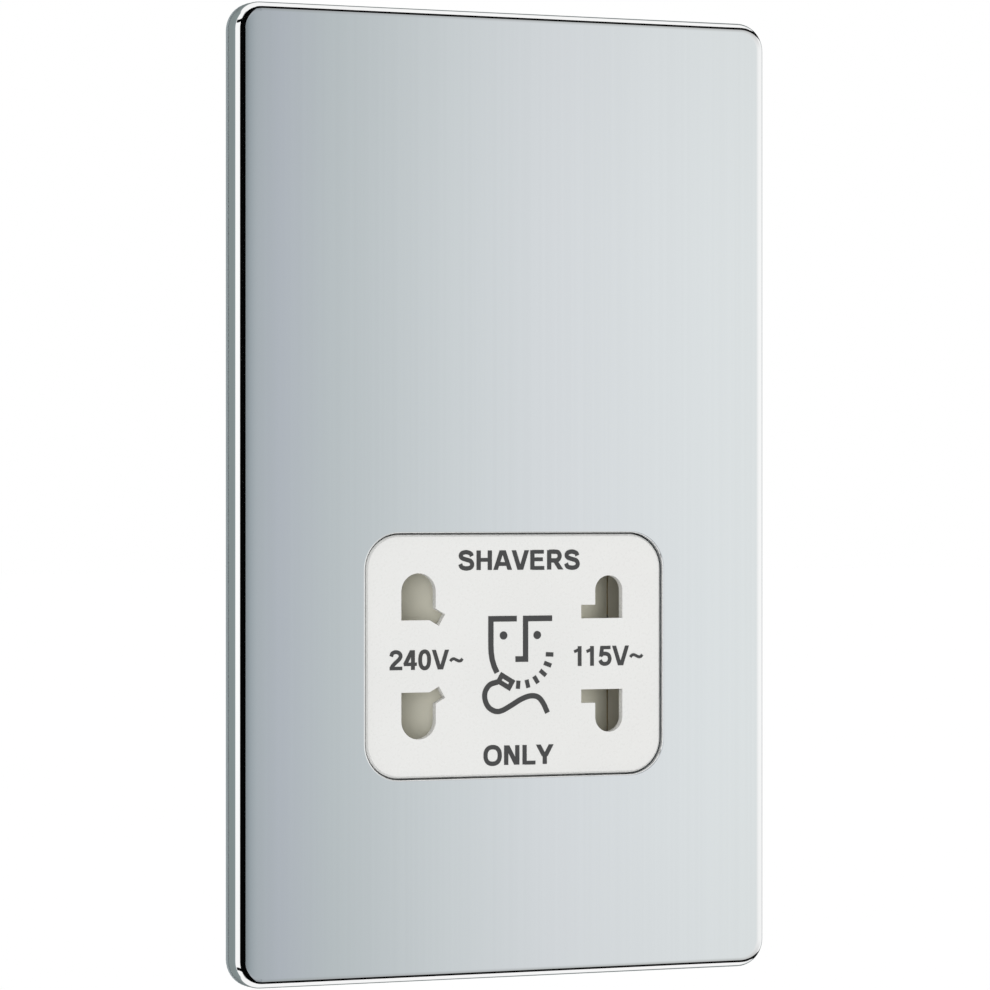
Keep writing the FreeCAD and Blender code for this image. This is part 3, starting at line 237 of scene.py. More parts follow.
def polished_chrome(colour, middle, half, depth):
    """Bright plating with faint upright polishing lines, left dull on the cut wall of the plate's opening.

    The wall is what lies within the half sizes about the opening's middle, and deeper than its rounded rim.
    """
    def inputs(net):
        lines = net.grain((1500.0, 1500.0, 5.0), 4.0)
        place = net.node("ShaderNodeTexCoord").outputs["Object"]
        x, y, z = net.node("ShaderNodeSeparateXYZ", {0: place}).outputs
        within = net.math("MULTIPLY", net.math("COMPARE", x, middle[0], half[0]),
                          net.math("COMPARE", z, middle[1], half[1]))
        wall = net.math("MULTIPLY", within, net.math("GREATER_THAN", y, depth))
        polish, dull = net.spread(lines, 0.25, 0.75, 0.008, 0.02), 0.6
        tone = net.mix(net.spread(lines, 0.3, 0.7), shade(colour, 0.985), shade(colour, 1.0))
        return {"Base Color": tone,
                "Metallic": 1.0,
                "Roughness": net.math("MULTIPLY_ADD", wall, dull, polish)}
    return surface("polished_chrome", inputs)


def moulded(name, colour, rough, texture):
    """Moulded plastic: a fine sparked texture and a slow drift of tone."""
    def inputs(net):
        drift = net.grain((40.0, 40.0, 40.0), 2.0)
        pits = net.grain((2600.0, 2600.0, 2600.0), 3.0)
        tone = net.mix(net.spread(drift, 0.3, 0.7), shade(colour, 0.985), shade(colour, 1.01))
        return {"Base Color": tone,
                "Roughness": net.spread(pits, 0.3, 0.7, rough - 0.05, rough + 0.06),
                "Normal": net.bump(pits, texture, 0.3)}
    return surface(name, inputs)


def worked_metal(name, colour, rough, stretch):
    """Rolled or turned metal: fine drawn lines in tone and gloss."""
    def inputs(net):
        lines = net.grain(stretch, 3.0)
        cloud = net.grain((180.0, 180.0, 180.0), 2.0)
        tone = net.mix(net.spread(cloud, 0.3, 0.75), shade(colour, 0.82), shade(colour, 1.05))
        return {"Base Color": tone,
                "Metallic": 1.0,
                "Roughness": net.spread(lines, 0.25, 0.75, rough - 0.07, rough + 0.09),
                "Normal": net.bump(lines, 0.01 * MM, 0.25)}
    return surface(name, inputs)


def laminated_iron(colour):
    """Stack of oiled sheets, half a millimetre apart along Y."""
    def inputs(net):
        sheets = net.bands("Y", 0.5 * MM)
        rust = net.grain((160.0, 420.0, 160.0), 4.0)
        tone = net.mix(net.spread(rust, 0.5, 0.8), shade(colour, 1.1), (0.16, 0.10, 0.07, 1.0))
        return {"Base Color": net.mix(net.spread(sheets, 0.0, 0.35), shade(colour, 0.3), tone),
                "Metallic": 0.7,
                "Roughness": net.spread(rust, 0.3, 0.7, 0.32, 0.55),
                "Normal": net.bump(sheets, 0.05 * MM)}
    return surface("laminated_iron", inputs)


def enamelled_wire(name, colour, pitch):
    """Close turns of lacquered wire, stacked along Z."""
    def inputs(net):
        turns = net.bands("Z", pitch, 0.15)
        patch = net.grain((220.0, 220.0, 900.0), 2.0)
        tone = net.mix(net.spread(patch, 0.3, 0.7), shade(colour, 0.8), shade(colour, 1.2))
        return {"Base Color": net.mix(net.spread(turns, 0.0, 0.45), shade(colour, 0.22), tone),
                "Metallic": 0.75,
                "Roughness": net.spread(patch, 0.3, 0.7, 0.22, 0.36),
                "Normal": net.bump(turns, 0.1 * MM, 0.8)}
    return surface(name, inputs)


def insulation(name, colour):
    """Soft sheath of a lead, a little dusty."""
    def inputs(net):
        dust = net.grain((700.0, 700.0, 260.0), 3.0)
        tone = net.mix(net.spread(dust, 0.35, 0.75), shade(colour, 0.9), shade(colour, 1.12))
        return {"Base Color": tone,
                "Roughness": net.spread(dust, 0.3, 0.7, 0.38, 0.52),
                "Normal": net.bump(dust, 0.01 * MM, 0.2)}
    return surface(name, inputs)


def printed_ink(colour):
    """Pad print: matt, with a slight mottle."""
    def inputs(net):
        mottle = net.grain((3500.0, 3500.0, 3500.0), 2.0)
        return {"Base Color": net.mix(mottle, shade(colour, 0.85), shade(colour, 1.15)),
                "Roughness": net.spread(mottle, 0.3, 0.7, 0.5, 0.65)}
    return surface("printed_ink", inputs)


def dress(material, *names, angle=SHARP):
    """Gives CAD nodes a finish, joins their triangles and shades their curved faces smooth."""
    for name in names:
        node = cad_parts[name]
        node.data.materials.clear()
        node.data.materials.append(material)
        node.data.polygons.foreach_set("material_index", np.zeros(len(node.data.polygons), np.int32))
        node.data.polygons.foreach_set("use_smooth", np.ones(len(node.data.polygons), bool))
        weld = node.modifiers.new("join_triangles", "WELD")
        weld.merge_threshold = 0.002 * MM
        split = node.modifiers.new("keep_edges", "EDGE_SPLIT")
        split.split_angle = math.radians(angle)
        even = node.modifiers.new("even_shading", "WEIGHTED_NORMAL")
        even.weight, even.thresh = 100, 0.0


def new_piece(name, points, faces, material, slot):
    """Object at the origin from arrays of points and of four-cornered faces."""
    mesh = bpy.data.meshes.new(name)
    mesh.from_pydata(points.tolist(), [], faces.tolist())
    mesh.validate()
    mesh.materials.append(material)
    made = bpy.data.objects.new(name, mesh)
    bpy.context.scene.collection.objects.link(made)
    return made


def tube_faces(stations, corners, closed):
    """Faces of a section of some corners carried along stations, with both ends capped if open.

    The face between stations i, i+1 and corners j, j+1 joins (i, j), (i, j+1), (i+1, j+1), (i+1, j).
    """
    i = np.arange(stations if closed else stations - 1)[:, None]
    j = np.arange(corners)[None, :]
    here, there = i * corners, (i + 1) % stations * corners
    after = (j + 1) % corners
    quads = np.stack([here + j, here + after, there + after, there + j], -1).reshape(-1, 4)
    if closed:
        return quads
    first = np.arange(corners)[None, ::-1]
    last = (stations - 1) * corners + np.arange(corners)[None, :]
    return np.concatenate([quads, first, last])


def smooth_line(points, steps=10, closed=False):
    """Catmull-Rom line through points: each span is the cubic that leaves along its neighbours' chord."""
    p = np.asarray(points, float)
    before = np.roll(p, 1, 0) if closed else np.concatenate([2 * p[:1] - p[1:2], p[:-1]])
    after = np.roll(p, -1, 0) if closed else np.concatenate([p[1:], 2 * p[-1:] - p[-2:-1]])
    beyond = np.roll(p, -2, 0) if closed else np.concatenate([after[1:], 2 * after[-1:] - p[-1:]])
    t = np.linspace(0, 1, steps, endpoint=False)[None, :, None]
    a, b, c, d = (x[:, None, :] for x in (before, p, after, beyond))
    line = 0.5 * (2 * b + (c - a) * t + (2 * a - 5 * b + 4 * c - d) * t ** 2
                  + (3 * b - a - 3 * c + d) * t ** 3)
    if closed:
        return line.reshape(-1, 2)
    return np.concatenate([line[:-1].reshape(-1, 2), p[-1:]])


def band(line, half, closed=False):
    """Left and right edges of a flat band: each point moves square to the line, by half over the
    cosine of half the turn, so that corners are mitred."""
    ahead = np.roll(line, -1, 0) - line
    back = line - np.roll(line, 1, 0)
    if not closed:
        ahead[-1], back[0] = back[-1], ahead[0]
    ahead /= np.linalg.norm(ahead, axis=1, keepdims=True)
    back /= np.linalg.norm(back, axis=1, keepdims=True)
    middle = ahead + back
    middle /= np.linalg.norm(middle, axis=1, keepdims=True)
    reach = half / np.sum(middle * ahead, axis=1, keepdims=True)
    side = np.stack([-middle[:, 1], middle[:, 0]], -1) * reach
    return line + side, line - side, closed


def stem(start, end, half):
    """Straight stroke with level ends: its edges are moved sideways, by half over the stroke's slope."""
    line = np.array([start, end], float)
    run = line[1] - line[0]
    across = np.array([half * np.hypot(*run) / abs(run[1]), 0.0])
    return line - across, line + across, False


def bar(start, end, half):
    """Level stroke with upright ends."""
    line = np.array([start, end], float)
    across = np.array([0.0, half])
    return line + across, line - across, False


def ring(centre, radius, half, turns=48, power=2.35):
    """Closed band on a rounded oval, |x / a| ** power + |y / b| ** power = 1."""
    t = np.linspace(0, 2 * np.pi, turns, endpoint=False)
    oval = np.stack([np.sign(f(t)) * np.abs(f(t)) ** (2 / power) for f in (np.cos, np.sin)], -1)
    return band(np.asarray(centre) + oval * np.asarray(radius), half, True)


def dot(centre, radius, turns=24):
    """Disc as a band whose edges are its upper and lower half circles."""
    t = np.linspace(0.04, np.pi - 0.04, turns)
    x, y = centre[0] - radius * np.cos(t), radius * np.sin(t)
    return np.stack([x, centre[1] + y], -1), np.stack([x, centre[1] - y], -1), False


def slab(edges, near, far, middle):
    """Points and faces of a flat band, thick along Y: its two edges at a near and at a far plane."""
    left, right, closed = edges
    section = np.stack([left, right, right, left], 1)
    x, z = middle[0] + section[..., 0], middle[1] + section[..., 1]
    y = np.broadcast_to([near, near, far, far], x.shape)
    return np.stack([x, y, z], -1).reshape(-1, 3), tube_faces(len(left), 4, closed)


def turned(y, radius, middle):
    """Points and faces of a surface turned about Y: a ring of points at each y, at the radii given there."""
    angle = np.linspace(0, 2 * np.pi, RING, endpoint=False)
    x, z = middle[0] + radius * np.cos(angle), middle[1] - radius * np.sin(angle)
    points = np.stack([x, np.broadcast_to(y[:, None], x.shape), z], -1).reshape(-1, 3)
    return points, tube_faces(len(y), RING, True)[:-RING]


def joined(parts):
    """Points and faces of several surfaces as one: the faces of each count on from the points before it."""
    points, faces = zip(*parts)
    starts = np.cumsum([0] + [len(p) for p in points[:-1]])
    return np.concatenate(points), np.concatenate([f + start for f, start in zip(faces, starts)])


def smooth(piece):
    """Round shading, with sharp edges kept."""
    piece.data.polygons.foreach_set("use_smooth", np.ones(len(piece.data.polygons), bool))
    split = piece.modifiers.new("keep_edges", "EDGE_SPLIT")
    split.split_angle = math.radians(SHARP)


def print_bands(name, bands, face, depth, material):
    """Thin slabs of ink, from the face to the ink's depth in front of it.

    Each band lies a fiftieth of the depth over the one before, so that no two fronts share a plane.
    """
    across, front, up = face
    slabs = [slab((left * MM, right * MM, closed), front - depth * (1 + layer / 50), front, (across, up))
             for layer, (left, right, closed) in enumerate(bands)]
    made = new_piece(name, *joined(slabs), material, "print_ink")
    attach(made, BODY)
    return made


# Strokes of the capitals and figures, in letter heights: advance, then each stroke with its points.
GLYPHS = {
    "S": (0.93, [("curve", (0.755, 0.71), (0.685, 0.845), (0.46, 0.915), (0.235, 0.865), (0.155, 0.735),
                  (0.235, 0.61), (0.455, 0.535), (0.69, 0.455), (0.775, 0.285), (0.69, 0.135),
                  (0.455, 0.085), (0.215, 0.145), (0.125, 0.31))]),
    "H": (1.01, [("stem", (0.2, 0), (0.2, 1)), ("stem", (0.81, 0), (0.81, 1)),
                 ("bar", (0.2, 0.52), (0.81, 0.52))]),
    "A": (1.01, [("stem", (0.115, 0), (0.46, 1)), ("stem", (0.895, 0), (0.55, 1)),
                 ("bar", (0.25, 0.3), (0.76, 0.3))]),
    "V": (0.93, [("stem", (0.43, 0), (0.11, 1)), ("stem", (0.5, 0), (0.82, 1))]),
    "E": (0.93, [("stem", (0.2, 0), (0.2, 1)), ("bar", (0.2, 0.915), (0.83, 0.915)),
                 ("bar", (0.2, 0.53), (0.78, 0.53)), ("bar", (0.2, 0.085), (0.86, 0.085))]),
    "R": (1.01, [("stem", (0.2, 0), (0.2, 1)), ("stem", (0.84, 0), (0.52, 0.46)),
                 ("curve", (0.2, 0.915), (0.52, 0.915), (0.7, 0.875), (0.78, 0.7), (0.7, 0.515),
                  (0.52, 0.47), (0.2, 0.47))]),
    "O": (1.09, [("ring", (0.545, 0.5), (0.39, 0.425))]),
    "N": (1.01, [("stem", (0.2, 0), (0.2, 1)), ("stem", (0.81, 0), (0.81, 1)),
                 ("stem", (0.77, 0), (0.24, 1))]),
    "L": (0.85, [("stem", (0.2, 0), (0.2, 1)), ("bar", (0.2, 0.085), (0.8, 0.085))]),
    "Y": (0.93, [("stem", (0.44, 0.4), (0.11, 1)), ("stem", (0.49, 0.4), (0.82, 1)),
                 ("stem", (0.465, 0), (0.465, 0.44))]),
    "0": (0.776, [("ring", (0.385, 0.5), (0.24, 0.425))]),
    "1": (0.776, [("stem", (0.45, 0), (0.45, 1)), ("line", (0.5, 0.9), (0.36, 0.81), (0.15, 0.72))]),
    "2": (0.776, [("curve", (0.135, 0.69), (0.2, 0.85), (0.385, 0.915), (0.575, 0.85), (0.64, 0.7),
                   (0.56, 0.545), (0.36, 0.365), (0.21, 0.215), (0.15, 0.085)),
                  ("bar", (0.05, 0.085), (0.73, 0.085))]),
    "4": (0.776, [("stem", (0.53, 0), (0.53, 1)), ("stem", (0.12, 0.3), (0.49, 1)),
                  ("bar", (0.035, 0.285), (0.74, 0.285))]),
    "5": (0.776, [("bar", (0.18, 0.915), (0.69, 0.915)), ("stem", (0.165, 0.46), (0.235, 1)),
                  ("curve", (0.13, 0.5), (0.24, 0.585), (0.4, 0.605), (0.575, 0.54), (0.645, 0.345),
                   (0.57, 0.155), (0.385, 0.085), (0.2, 0.135), (0.12, 0.28))]),
    "~": (0.816, [("fine", (0.07, 0.41), (0.15, 0.5), (0.27, 0.53), (0.4, 0.475), (0.53, 0.42),
                   (0.65, 0.435), (0.73, 0.53))]),
}

# Two figures that stand closer than their advance, by this much.
CLOSER = {"11": 0.1}

# Word, the middle of its baseline from the face's middle in millimetres, and how tall and heavy it is.
WORDS = (
    ("print_shavers", "SHAVERS", (0.69, 12.87), 1.0, 1.0),
    ("print_only", "ONLY", (0.44, -16.58), 1.0, 1.0),
    ("print_240v", "240V~", (-14.3, -2.0), 1.0, 0.9),
    ("print_115v", "115V~", (15.13, -1.83), 1.02, 0.9),
)

# Middle of the shaver sign from the middle of the face, in millimetres.
SIGN_MIDDLE = (-0.11, -0.03)


def letter_bands(word, middle, cap, stroke):
    """Bands of a word's strokes, in millimetres from the middle of the face."""
    heavy, light = stroke / 2 / cap, 0.42 * stroke / cap
    make = {"stem": lambda *p: stem(*p, heavy), "bar": lambda *p: bar(*p, light),
            "curve": lambda *p: band(smooth_line(p), 0.96 * heavy),
            "line": lambda *p: band(np.array(p), 0.9 * light),
            "fine": lambda *p: band(smooth_line(p), 0.72 * heavy),
            "ring": lambda centre, radius: ring(centre, radius, 0.98 * heavy)}
    advances = [GLYPHS[a][0] - CLOSER.get(a + b, 0.0) for a, b in zip(word, word[1:] + " ")]
    pen, bands = -sum(advances) / 2, []
    for letter, advance in zip(word, advances):
        for kind, *points in GLYPHS[letter][1]:
            left, right, closed = make[kind](*points)
            moved = [(edge + (pen, 0.0)) * cap + middle for edge in (left, right)]
            bands.append((*moved, closed))
        pen += advance
    return bands


def shaver_sign_bands(middle, width):
    """Common sign for a shaver outlet in plain strokes, in millimetres from the middle of the face."""
    half = width / 2
    brow = np.array([(0.35, 5.52), (-3.85, 5.52), (-3.85, 1.6), (-3.8, 0.4), (-3.62, -0.7), (-3.3, -1.7),
                     (-2.85, -2.6)])
    nose = np.array([(6.1, 5.52), (1.77, 5.52), (1.77, -0.6), (0.12, -0.6)])
    cord = smooth_line([(-2.75, -4.0), (-4.0, -4.4), (-4.75, -5.4), (-4.8, -6.6), (-4.25, -7.75),
                        (-3.2, -8.4), (-2.1, -8.35), (-0.6, -7.6), (1.0, -6.7), (2.55, -6.2), (3.8, -6.4),
                        (4.65, -7.35), (5.35, -8.8)])
    spin = math.radians(-30.5)
    rotation = np.array([(math.cos(spin), math.sin(spin)), (-math.sin(spin), math.cos(spin))])
    head = np.array([(-0.98, -0.53), (-0.98, 0.53), (0.98, 0.53), (0.98, -0.53)]) @ rotation + (-1.5, -3.95)
    angles = np.radians(-2.6 - 18.4 * np.arange(6))
    rays = np.stack([np.cos(angles), np.sin(angles)], -1)
    chin, near, far = np.array([0.95, 0.25]), 4.12, 5.36
    dashes = [band(np.array([chin + near * ray, chin + far * ray]), 0.33) for ray in rays]
    eye = 0.62
    bands = [band(brow, half), band(nose, half), band(cord, 0.95 * half), band(head, 0.37, True),
             dot((-1.8, 3.0), eye), dot((3.67, 3.0), eye), *dashes]
    return [(left + middle, right + middle, closed) for left, right, closed in bands]


def rounded_line(points, radius, steps=6):
    """Straight runs joined by arcs: each inner corner becomes an arc of the radius, tangent to both."""
    p = np.asarray(points, float)
    into, out = p[1:-1] - p[:-2], p[2:] - p[1:-1]
    into /= np.linalg.norm(into, axis=1, keepdims=True)
    out /= np.linalg.norm(out, axis=1, keepdims=True)
    half = np.arccos(np.clip(np.sum(into * out, 1), -1, 1)) / 2
    sign = np.sign(into[:, 0] * out[:, 1] - into[:, 1] * out[:, 0])
    start = p[1:-1] - into * (radius * np.tan(half))[:, None]
    side = np.stack([-into[:, 1], into[:, 0]], -1) * (sign * radius)[:, None]
    t = np.linspace(0, 1, steps)[None, :, None] * (2 * half * sign)[:, None, None]
    x, y = -side[:, None, :1], -side[:, None, 1:]
    arcs = (start + side)[:, None, :] + np.concatenate(
        [x * np.cos(t) - y * np.sin(t), x * np.sin(t) + y * np.cos(t)], -1)
    return np.concatenate([p[:1], arcs.reshape(-1, 2), p[-1:]])


def outline(half, corner, middle=(0.0, 0.0), steps=12):
    """Ring round a rectangle with rounded corners: quarter circles about centres set in by the radius."""
    turn = np.arange(4)[:, None] * np.pi / 2 + np.linspace(0, np.pi / 2, steps + 1)
    across = np.array([1, -1, -1, 1])[:, None] * (half[0] - corner) + corner * np.cos(turn)
    up = np.array([1, 1, -1, -1])[:, None] * (half[1] - corner) + corner * np.sin(turn)
    return np.stack([middle[0] + across, middle[1] + up], -1).reshape(-1, 2)


def cutout(size):
    """Middle and half sizes of the plate's opening: the face's own, less the flange behind the plate."""
    low, high = (np.array(corner)[[0, 2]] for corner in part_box("socket_face"))
    return (low + high) / 2, (high - low) / 2 - size.flange


def drawn_plate(size):
    """Points and faces of the plate: rings of its outline and of its cut-out, one after another round the
    section of the sheet. From the skirt's rear edge a quarter round leads to the flat front, a small
    quarter round leads into the cut-out, and the back returns inside the skirt."""
    low, high = (np.array(corner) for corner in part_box("front_plate"))
    middle, hole = cutout(size)
    front, rear, inner = low[1], high[1], low[1] + size.sheet
    turn = np.linspace(0, np.pi / 2, 17)
    support = 0.05 * MM
    outer = [(0.0, rear), *zip(size.edge * (1 - np.cos(turn)), front + size.edge * (1 - np.sin(turn))),
             (size.edge + support, front)]
    mouth = [(size.rim + support, front),
             *zip(size.rim * (1 - np.sin(turn)), front + size.rim * (1 - np.cos(turn))), (0.0, inner)]
    inside = [(size.edge, inner), (size.sheet, inner + size.edge - size.sheet), (size.sheet, rear)]
    half = high[[0, 2]]
    rings = [(outline(half - inset, size.corner - inset), y) for inset, y in outer]
    rings += [(outline(hole + out, size.cutout_corner + out, middle), y) for out, y in mouth]
    rings += [(outline(half - inset, size.corner - inset), y) for inset, y in inside]
    points = [np.stack([ring[:, 0], np.full(len(ring), y), ring[:, 1]], -1) for ring, y in rings]
    return np.concatenate(points), tube_faces(len(rings), len(points[0]), True)


class SHAVER_OT_chrome_plate(bpy.types.Operator):
    """Draw the front plate with fine rounded edges, in polished chrome"""

    bl_idname = "shaver.chrome_plate"
    bl_label = "Chrome plate"

    def execute(self, context):
        size = context.scene.shaver_plate
        middle, hole = cutout(size)
        rim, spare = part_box("front_plate")[0][1] + 0.9 * size.rim, 0.02 * MM
        chrome = polished_chrome(context.scene.shaver_finish.chrome, middle, hole + spare, rim)
        dress(chrome, "front_plate")
        plate = new_piece("drawn_plate", *drawn_plate(size), chrome, "chrome_plate")
        smooth(plate)
        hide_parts("front_plate")
        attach(plate, BODY)
        return {"FINISHED"}


class SHAVER_OT_mouldings(bpy.types.Operator):
    """Finish the socket face, frame, shutter, contact carrier, cover and rear housing"""

    bl_idname = "shaver.mouldings"
    bl_label = "Mouldings"

    def execute(self, context):
        tone = context.scene.shaver_finish
        dress(moulded("face_moulding", tone.face, 0.30, 0.0006 * MM), "socket_face")
        dress(moulded("frame_moulding", tone.lip, 0.42, 0.01 * MM), "mounting_frame")
        dress(moulded("shutter_moulding", tone.shutter, 0.45, 0.006 * MM), "shutter_slider")
        dress(moulded("carrier_moulding", tone.carrier, 0.5, 0.01 * MM), "contact_carrier", "contact_cover")
        dress(moulded("housing_moulding", tone.housing, 0.46, 0.02 * MM), "rear_housing")
        return {"FINISHED"}


class SHAVER_OT_contacts(bpy.types.Operator):
    """Finish the spring contacts and the supply terminals in brass"""

    bl_idname = "shaver.contacts"
    bl_label = "Contacts and terminals"

    def execute(self, context):
        brass = context.scene.shaver_finish.brass
        dress(worked_metal("rolled_brass", brass, 0.3, (900.0, 900.0, 90.0)),
              "common_contact", "contact_240v", "contact_115v")
        dress(worked_metal("sawn_brass", brass, 0.26, (120.0, 1400.0, 1400.0)),
              "terminal_live", "terminal_neutral", "terminal_earth")
        return {"FINISHED"}


class SHAVER_OT_transformer(bpy.types.Operator):
    """Finish the laminated core, coil former, windings and cut-out"""

    bl_idname = "shaver.transformer"
    bl_label = "Transformer"

    def execute(self, context):
        tone = context.scene.shaver_finish
        dress(laminated_iron(tone.iron), "core_e_stack", "core_i_stack")
        dress(moulded("former_moulding", tone.black, 0.45, 0.01 * MM), "bobbin")
        dress(enamelled_wire("fine_winding", tone.copper, 0.3 * MM), "primary_winding")
        dress(enamelled_wire("coarse_winding", tone.copper, 0.45 * MM), "secondary_winding")
        dress(moulded("cutout_case", tone.black, 0.25, 0.004 * MM), "thermal_cutout")
        return {"FINISHED"}


# Sheath of each lead inside the housing, and its colour.
SHEATHS = (("brown_sheath", (0.17, 0.075, 0.03), ("lead_live",)),
           ("blue_sheath", (0.03, 0.10, 0.34), ("lead_neutral",)),
           ("white_sheath", (0.68, 0.67, 0.63), ("lead_common", "lead_115v", "lead_240v")))


class SHAVER_OT_leads(bpy.types.Operator):
    """Finish the insulated leads inside the housing"""

    bl_idname = "shaver.leads"
    bl_label = "Leads"

    def execute(self, context):
        six_sided = 65.0
        for name, colour, leads in SHEATHS:
            dress(insulation(name, colour), *leads, angle=six_sided)
        return {"FINISHED"}


def threaded_screws(size):
    """Points and faces of both wall box screws, turned about Y: a head, a plain neck and a thread.

    The thread's radius follows a triangle wave of the distance along the axis over the pitch, less the
    turn, with its crests cut flat. It starts one pitch behind the wall's plane.
    """
    low, high = (np.array(corner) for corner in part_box("fixing_screws"))
    head, top = high[0], low[1]
    seat, start, end = top + size.head, size.pitch, high[1]
    step, crest = size.pitch / 8, 1.35
    plain = np.array([(top, 0.01 * head), (top, 0.7 * head), (top + 0.2 * size.head, 0.92 * head),
                      (top + 0.5 * size.head, head), (seat, head), (seat, size.neck), (start, size.neck)])
    along = np.arange(start + step, end - size.pitch, step)
    wave = np.abs(2 * ((along[:, None] / size.pitch - np.arange(RING) / RING) % 1.0) - 1)
    thread = size.root + (size.thread - size.root) * np.clip(crest * wave, 0.0, 1.0)
    tip = np.array([(end - 0.5 * size.pitch, size.root), (end, 0.75 * size.root), (end, 0.02 * size.root)])
    radius = np.concatenate([np.repeat(plain[:, 1:], RING, 1), thread, np.repeat(tip[:, 1:], RING, 1)])
    y = np.concatenate([plain[:, 0], along, tip[:, 0]])
    reach = high[2] - head
    return joined([turned(y, radius, (0.0, z)) for z in (reach, -reach)])


def slotted_screws(size):
    """Points and faces of the three clamp screws: a rod, and on its end two parts of a disc by the slot."""
    low, high = (np.array(corner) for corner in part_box("terminal_screws"))
    radius, half, steps = (high[2] - low[2]) / 2, size.slot / 2, 17
    floor, sunk = high[1] - size.slot_depth, 0.05 * MM
    y = np.array([low[1], low[1], floor, floor])
    rod = radius * np.array([[0.01], [1.0], [1.0], [0.01]])
    x = 0.995 * math.sqrt(radius ** 2 - half ** 2) * np.linspace(-1, 1, steps)
    arc, line = np.stack([x, np.sqrt(radius ** 2 - x ** 2)], -1), np.stack([x, np.full(steps, half)], -1)
    under = np.array([1.0, -1.0])
    parts = []
    for across in np.linspace(low[0] + radius, high[0] - radius, 3):
        middle = (across, (low[2] + high[2]) / 2)
        parts += [turned(y, rod, middle), slab((arc, line, False), floor - sunk, high[1], middle),
                  slab((line * under, arc * under, False), floor - sunk, high[1], middle)]
    return joined(parts)


class SHAVER_OT_fasteners(bpy.types.Operator):
    """Make the wall box screws and the clamp screws, and finish the other screws and the earth strip"""

    bl_idname = "shaver.fasteners"
    bl_label = "Screws and earth strip"

    def execute(self, context):
        steel = context.scene.shaver_finish.steel
        zinc = worked_metal("zinc_screw", steel, 0.28, (700.0, 2600.0, 700.0))
        dress(zinc, "fixing_screws", "housing_screws", "terminal_screws")
        size = context.scene.shaver_screw
        for name, node, make in (("wall_box_screws", "fixing_screws", threaded_screws),
                                 ("clamp_screws", "terminal_screws", slotted_screws)):
            screws = new_piece(name, *make(size), zinc, "screw_steel")
            smooth(screws)
            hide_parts(node)
            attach(screws, BODY)
        dress(worked_metal("strip_steel", steel, 0.3, (1200.0, 60.0, 60.0)), "earth_strip")
        return {"FINISHED"}


class SHAVER_OT_centring_spring(bpy.types.Operator):
    """Make the strip spring, one end on the shutter and the other on the carrier's posts"""

    bl_idname = "shaver.centring_spring"
    bl_label = "Centring spring"

    def execute(self, context):
        size = context.scene.shaver_spring
        low, high = (np.array(corner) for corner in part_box("shutter_spring"))
        half = size.strip / 2
        x = np.repeat(np.linspace(low[0] + half, high[0] - half, size.legs), 2)
        ends = np.array([low[1] + half, high[1] - half])
        order = np.arange(2 * size.legs) + np.arange(2 * size.legs) // 2
        line = rounded_line(np.stack([x, ends[order % 2]], -1), size.bend, 9)
        left, right, closed = band(line, half)
        section = np.stack([left, right, right, left], 1)
        z = np.broadcast_to([high[2], high[2], low[2], low[2]], section.shape[:2])
        points = np.concatenate([section, z[..., None]], -1).reshape(-1, 3)
        steel = worked_metal("spring_steel", context.scene.shaver_finish.steel, 0.24, (80.0, 80.0, 2600.0))
        faces = tube_faces(len(line), 4, closed)
        spring = new_piece("centring_spring", points, faces, steel, "spring_steel")
        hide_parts("shutter_spring")
        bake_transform(spring)
        return {"FINISHED"}


class SHAVER_OT_face_print(bpy.types.Operator):
    """Print the plain outlet marks on the socket face"""

    bl_idname = "shaver.face_print"
    bl_label = "Face print"

    def execute(self, context):
        size = context.scene.shaver_print
        low, high = (np.array(corner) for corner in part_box("socket_face"))
        face = ((low[0] + high[0]) / 2, low[1], (low[2] + high[2]) / 2)
        ink = printed_ink(context.scene.shaver_finish.ink)
        for name, word, middle, tall, heavy in WORDS:
            bands = letter_bands(word, middle, tall * size.cap / MM, heavy * size.stem / MM)
            print_bands(name, bands, face, size.depth, ink)
        sign = shaver_sign_bands(SIGN_MIDDLE, size.line / MM)
        print_bands("print_shaver_sign", sign, face, size.depth, ink)
        return {"FINISHED"}


# Tone of the graded card, by angle from the plate's front towards its right.
CARD = ((17.5, 0.20, 0.23, 0.245), (17.56, 0.20, 0.23, 0.245), (17.62, 0.33, 0.38, 0.41),
        (17.72, 0.415, 0.46, 0.49), (18.06, 0.46, 0.50, 0.545), (18.8, 0.51, 0.56, 0.58),
        (20.5, 0.63, 0.675, 0.695), (22.0, 0.71, 0.745, 0.77), (24.1, 0.76, 0.80, 0.815),
        (25.5, 0.775, 0.815, 0.82))

# Tone round the rest of the room, by angle from the plate's front towards its left.
ROOM = ((-180, 0.20, 0.23, 0.23), (-132, 0.20, 0.23, 0.23), (-122, 0.80, 0.82, 0.83),
        (-105, 1.0, 1.0, 1.0), (-60, 0.99, 1.0, 1.0), (-32, 0.86, 0.88, 0.885), (-25, 0.775, 0.815, 0.82),
        (-17, 0.43, 0.47, 0.505), (0, 0.52, 0.56, 0.59), (38, 0.82, 0.84, 0.86), (41, 1.05, 1.06, 1.06),
        (97, 1.05, 1.06, 1.06), (103, 0.26, 0.31, 0.315), (180, 0.24, 0.28, 0.28))


def tone_ramp(net, value, stops):
    """Ramp through tones at given values; the first and last stops set its ends."""
    low, high = stops[0][0], stops[-1][0]
    ramp = net.node("ShaderNodeValToRGB", {0: net.spread(value, low, high, kind="LINEAR")})
    elements = ramp.color_ramp.elements
    for _ in stops[2:]:
        elements.new(0.5)
    for element, (at, *tone) in zip(elements, stops):
        element.position, element.color = (at - low) / (high - low), (*tone, 1.0)
    return ramp.outputs["Color"]


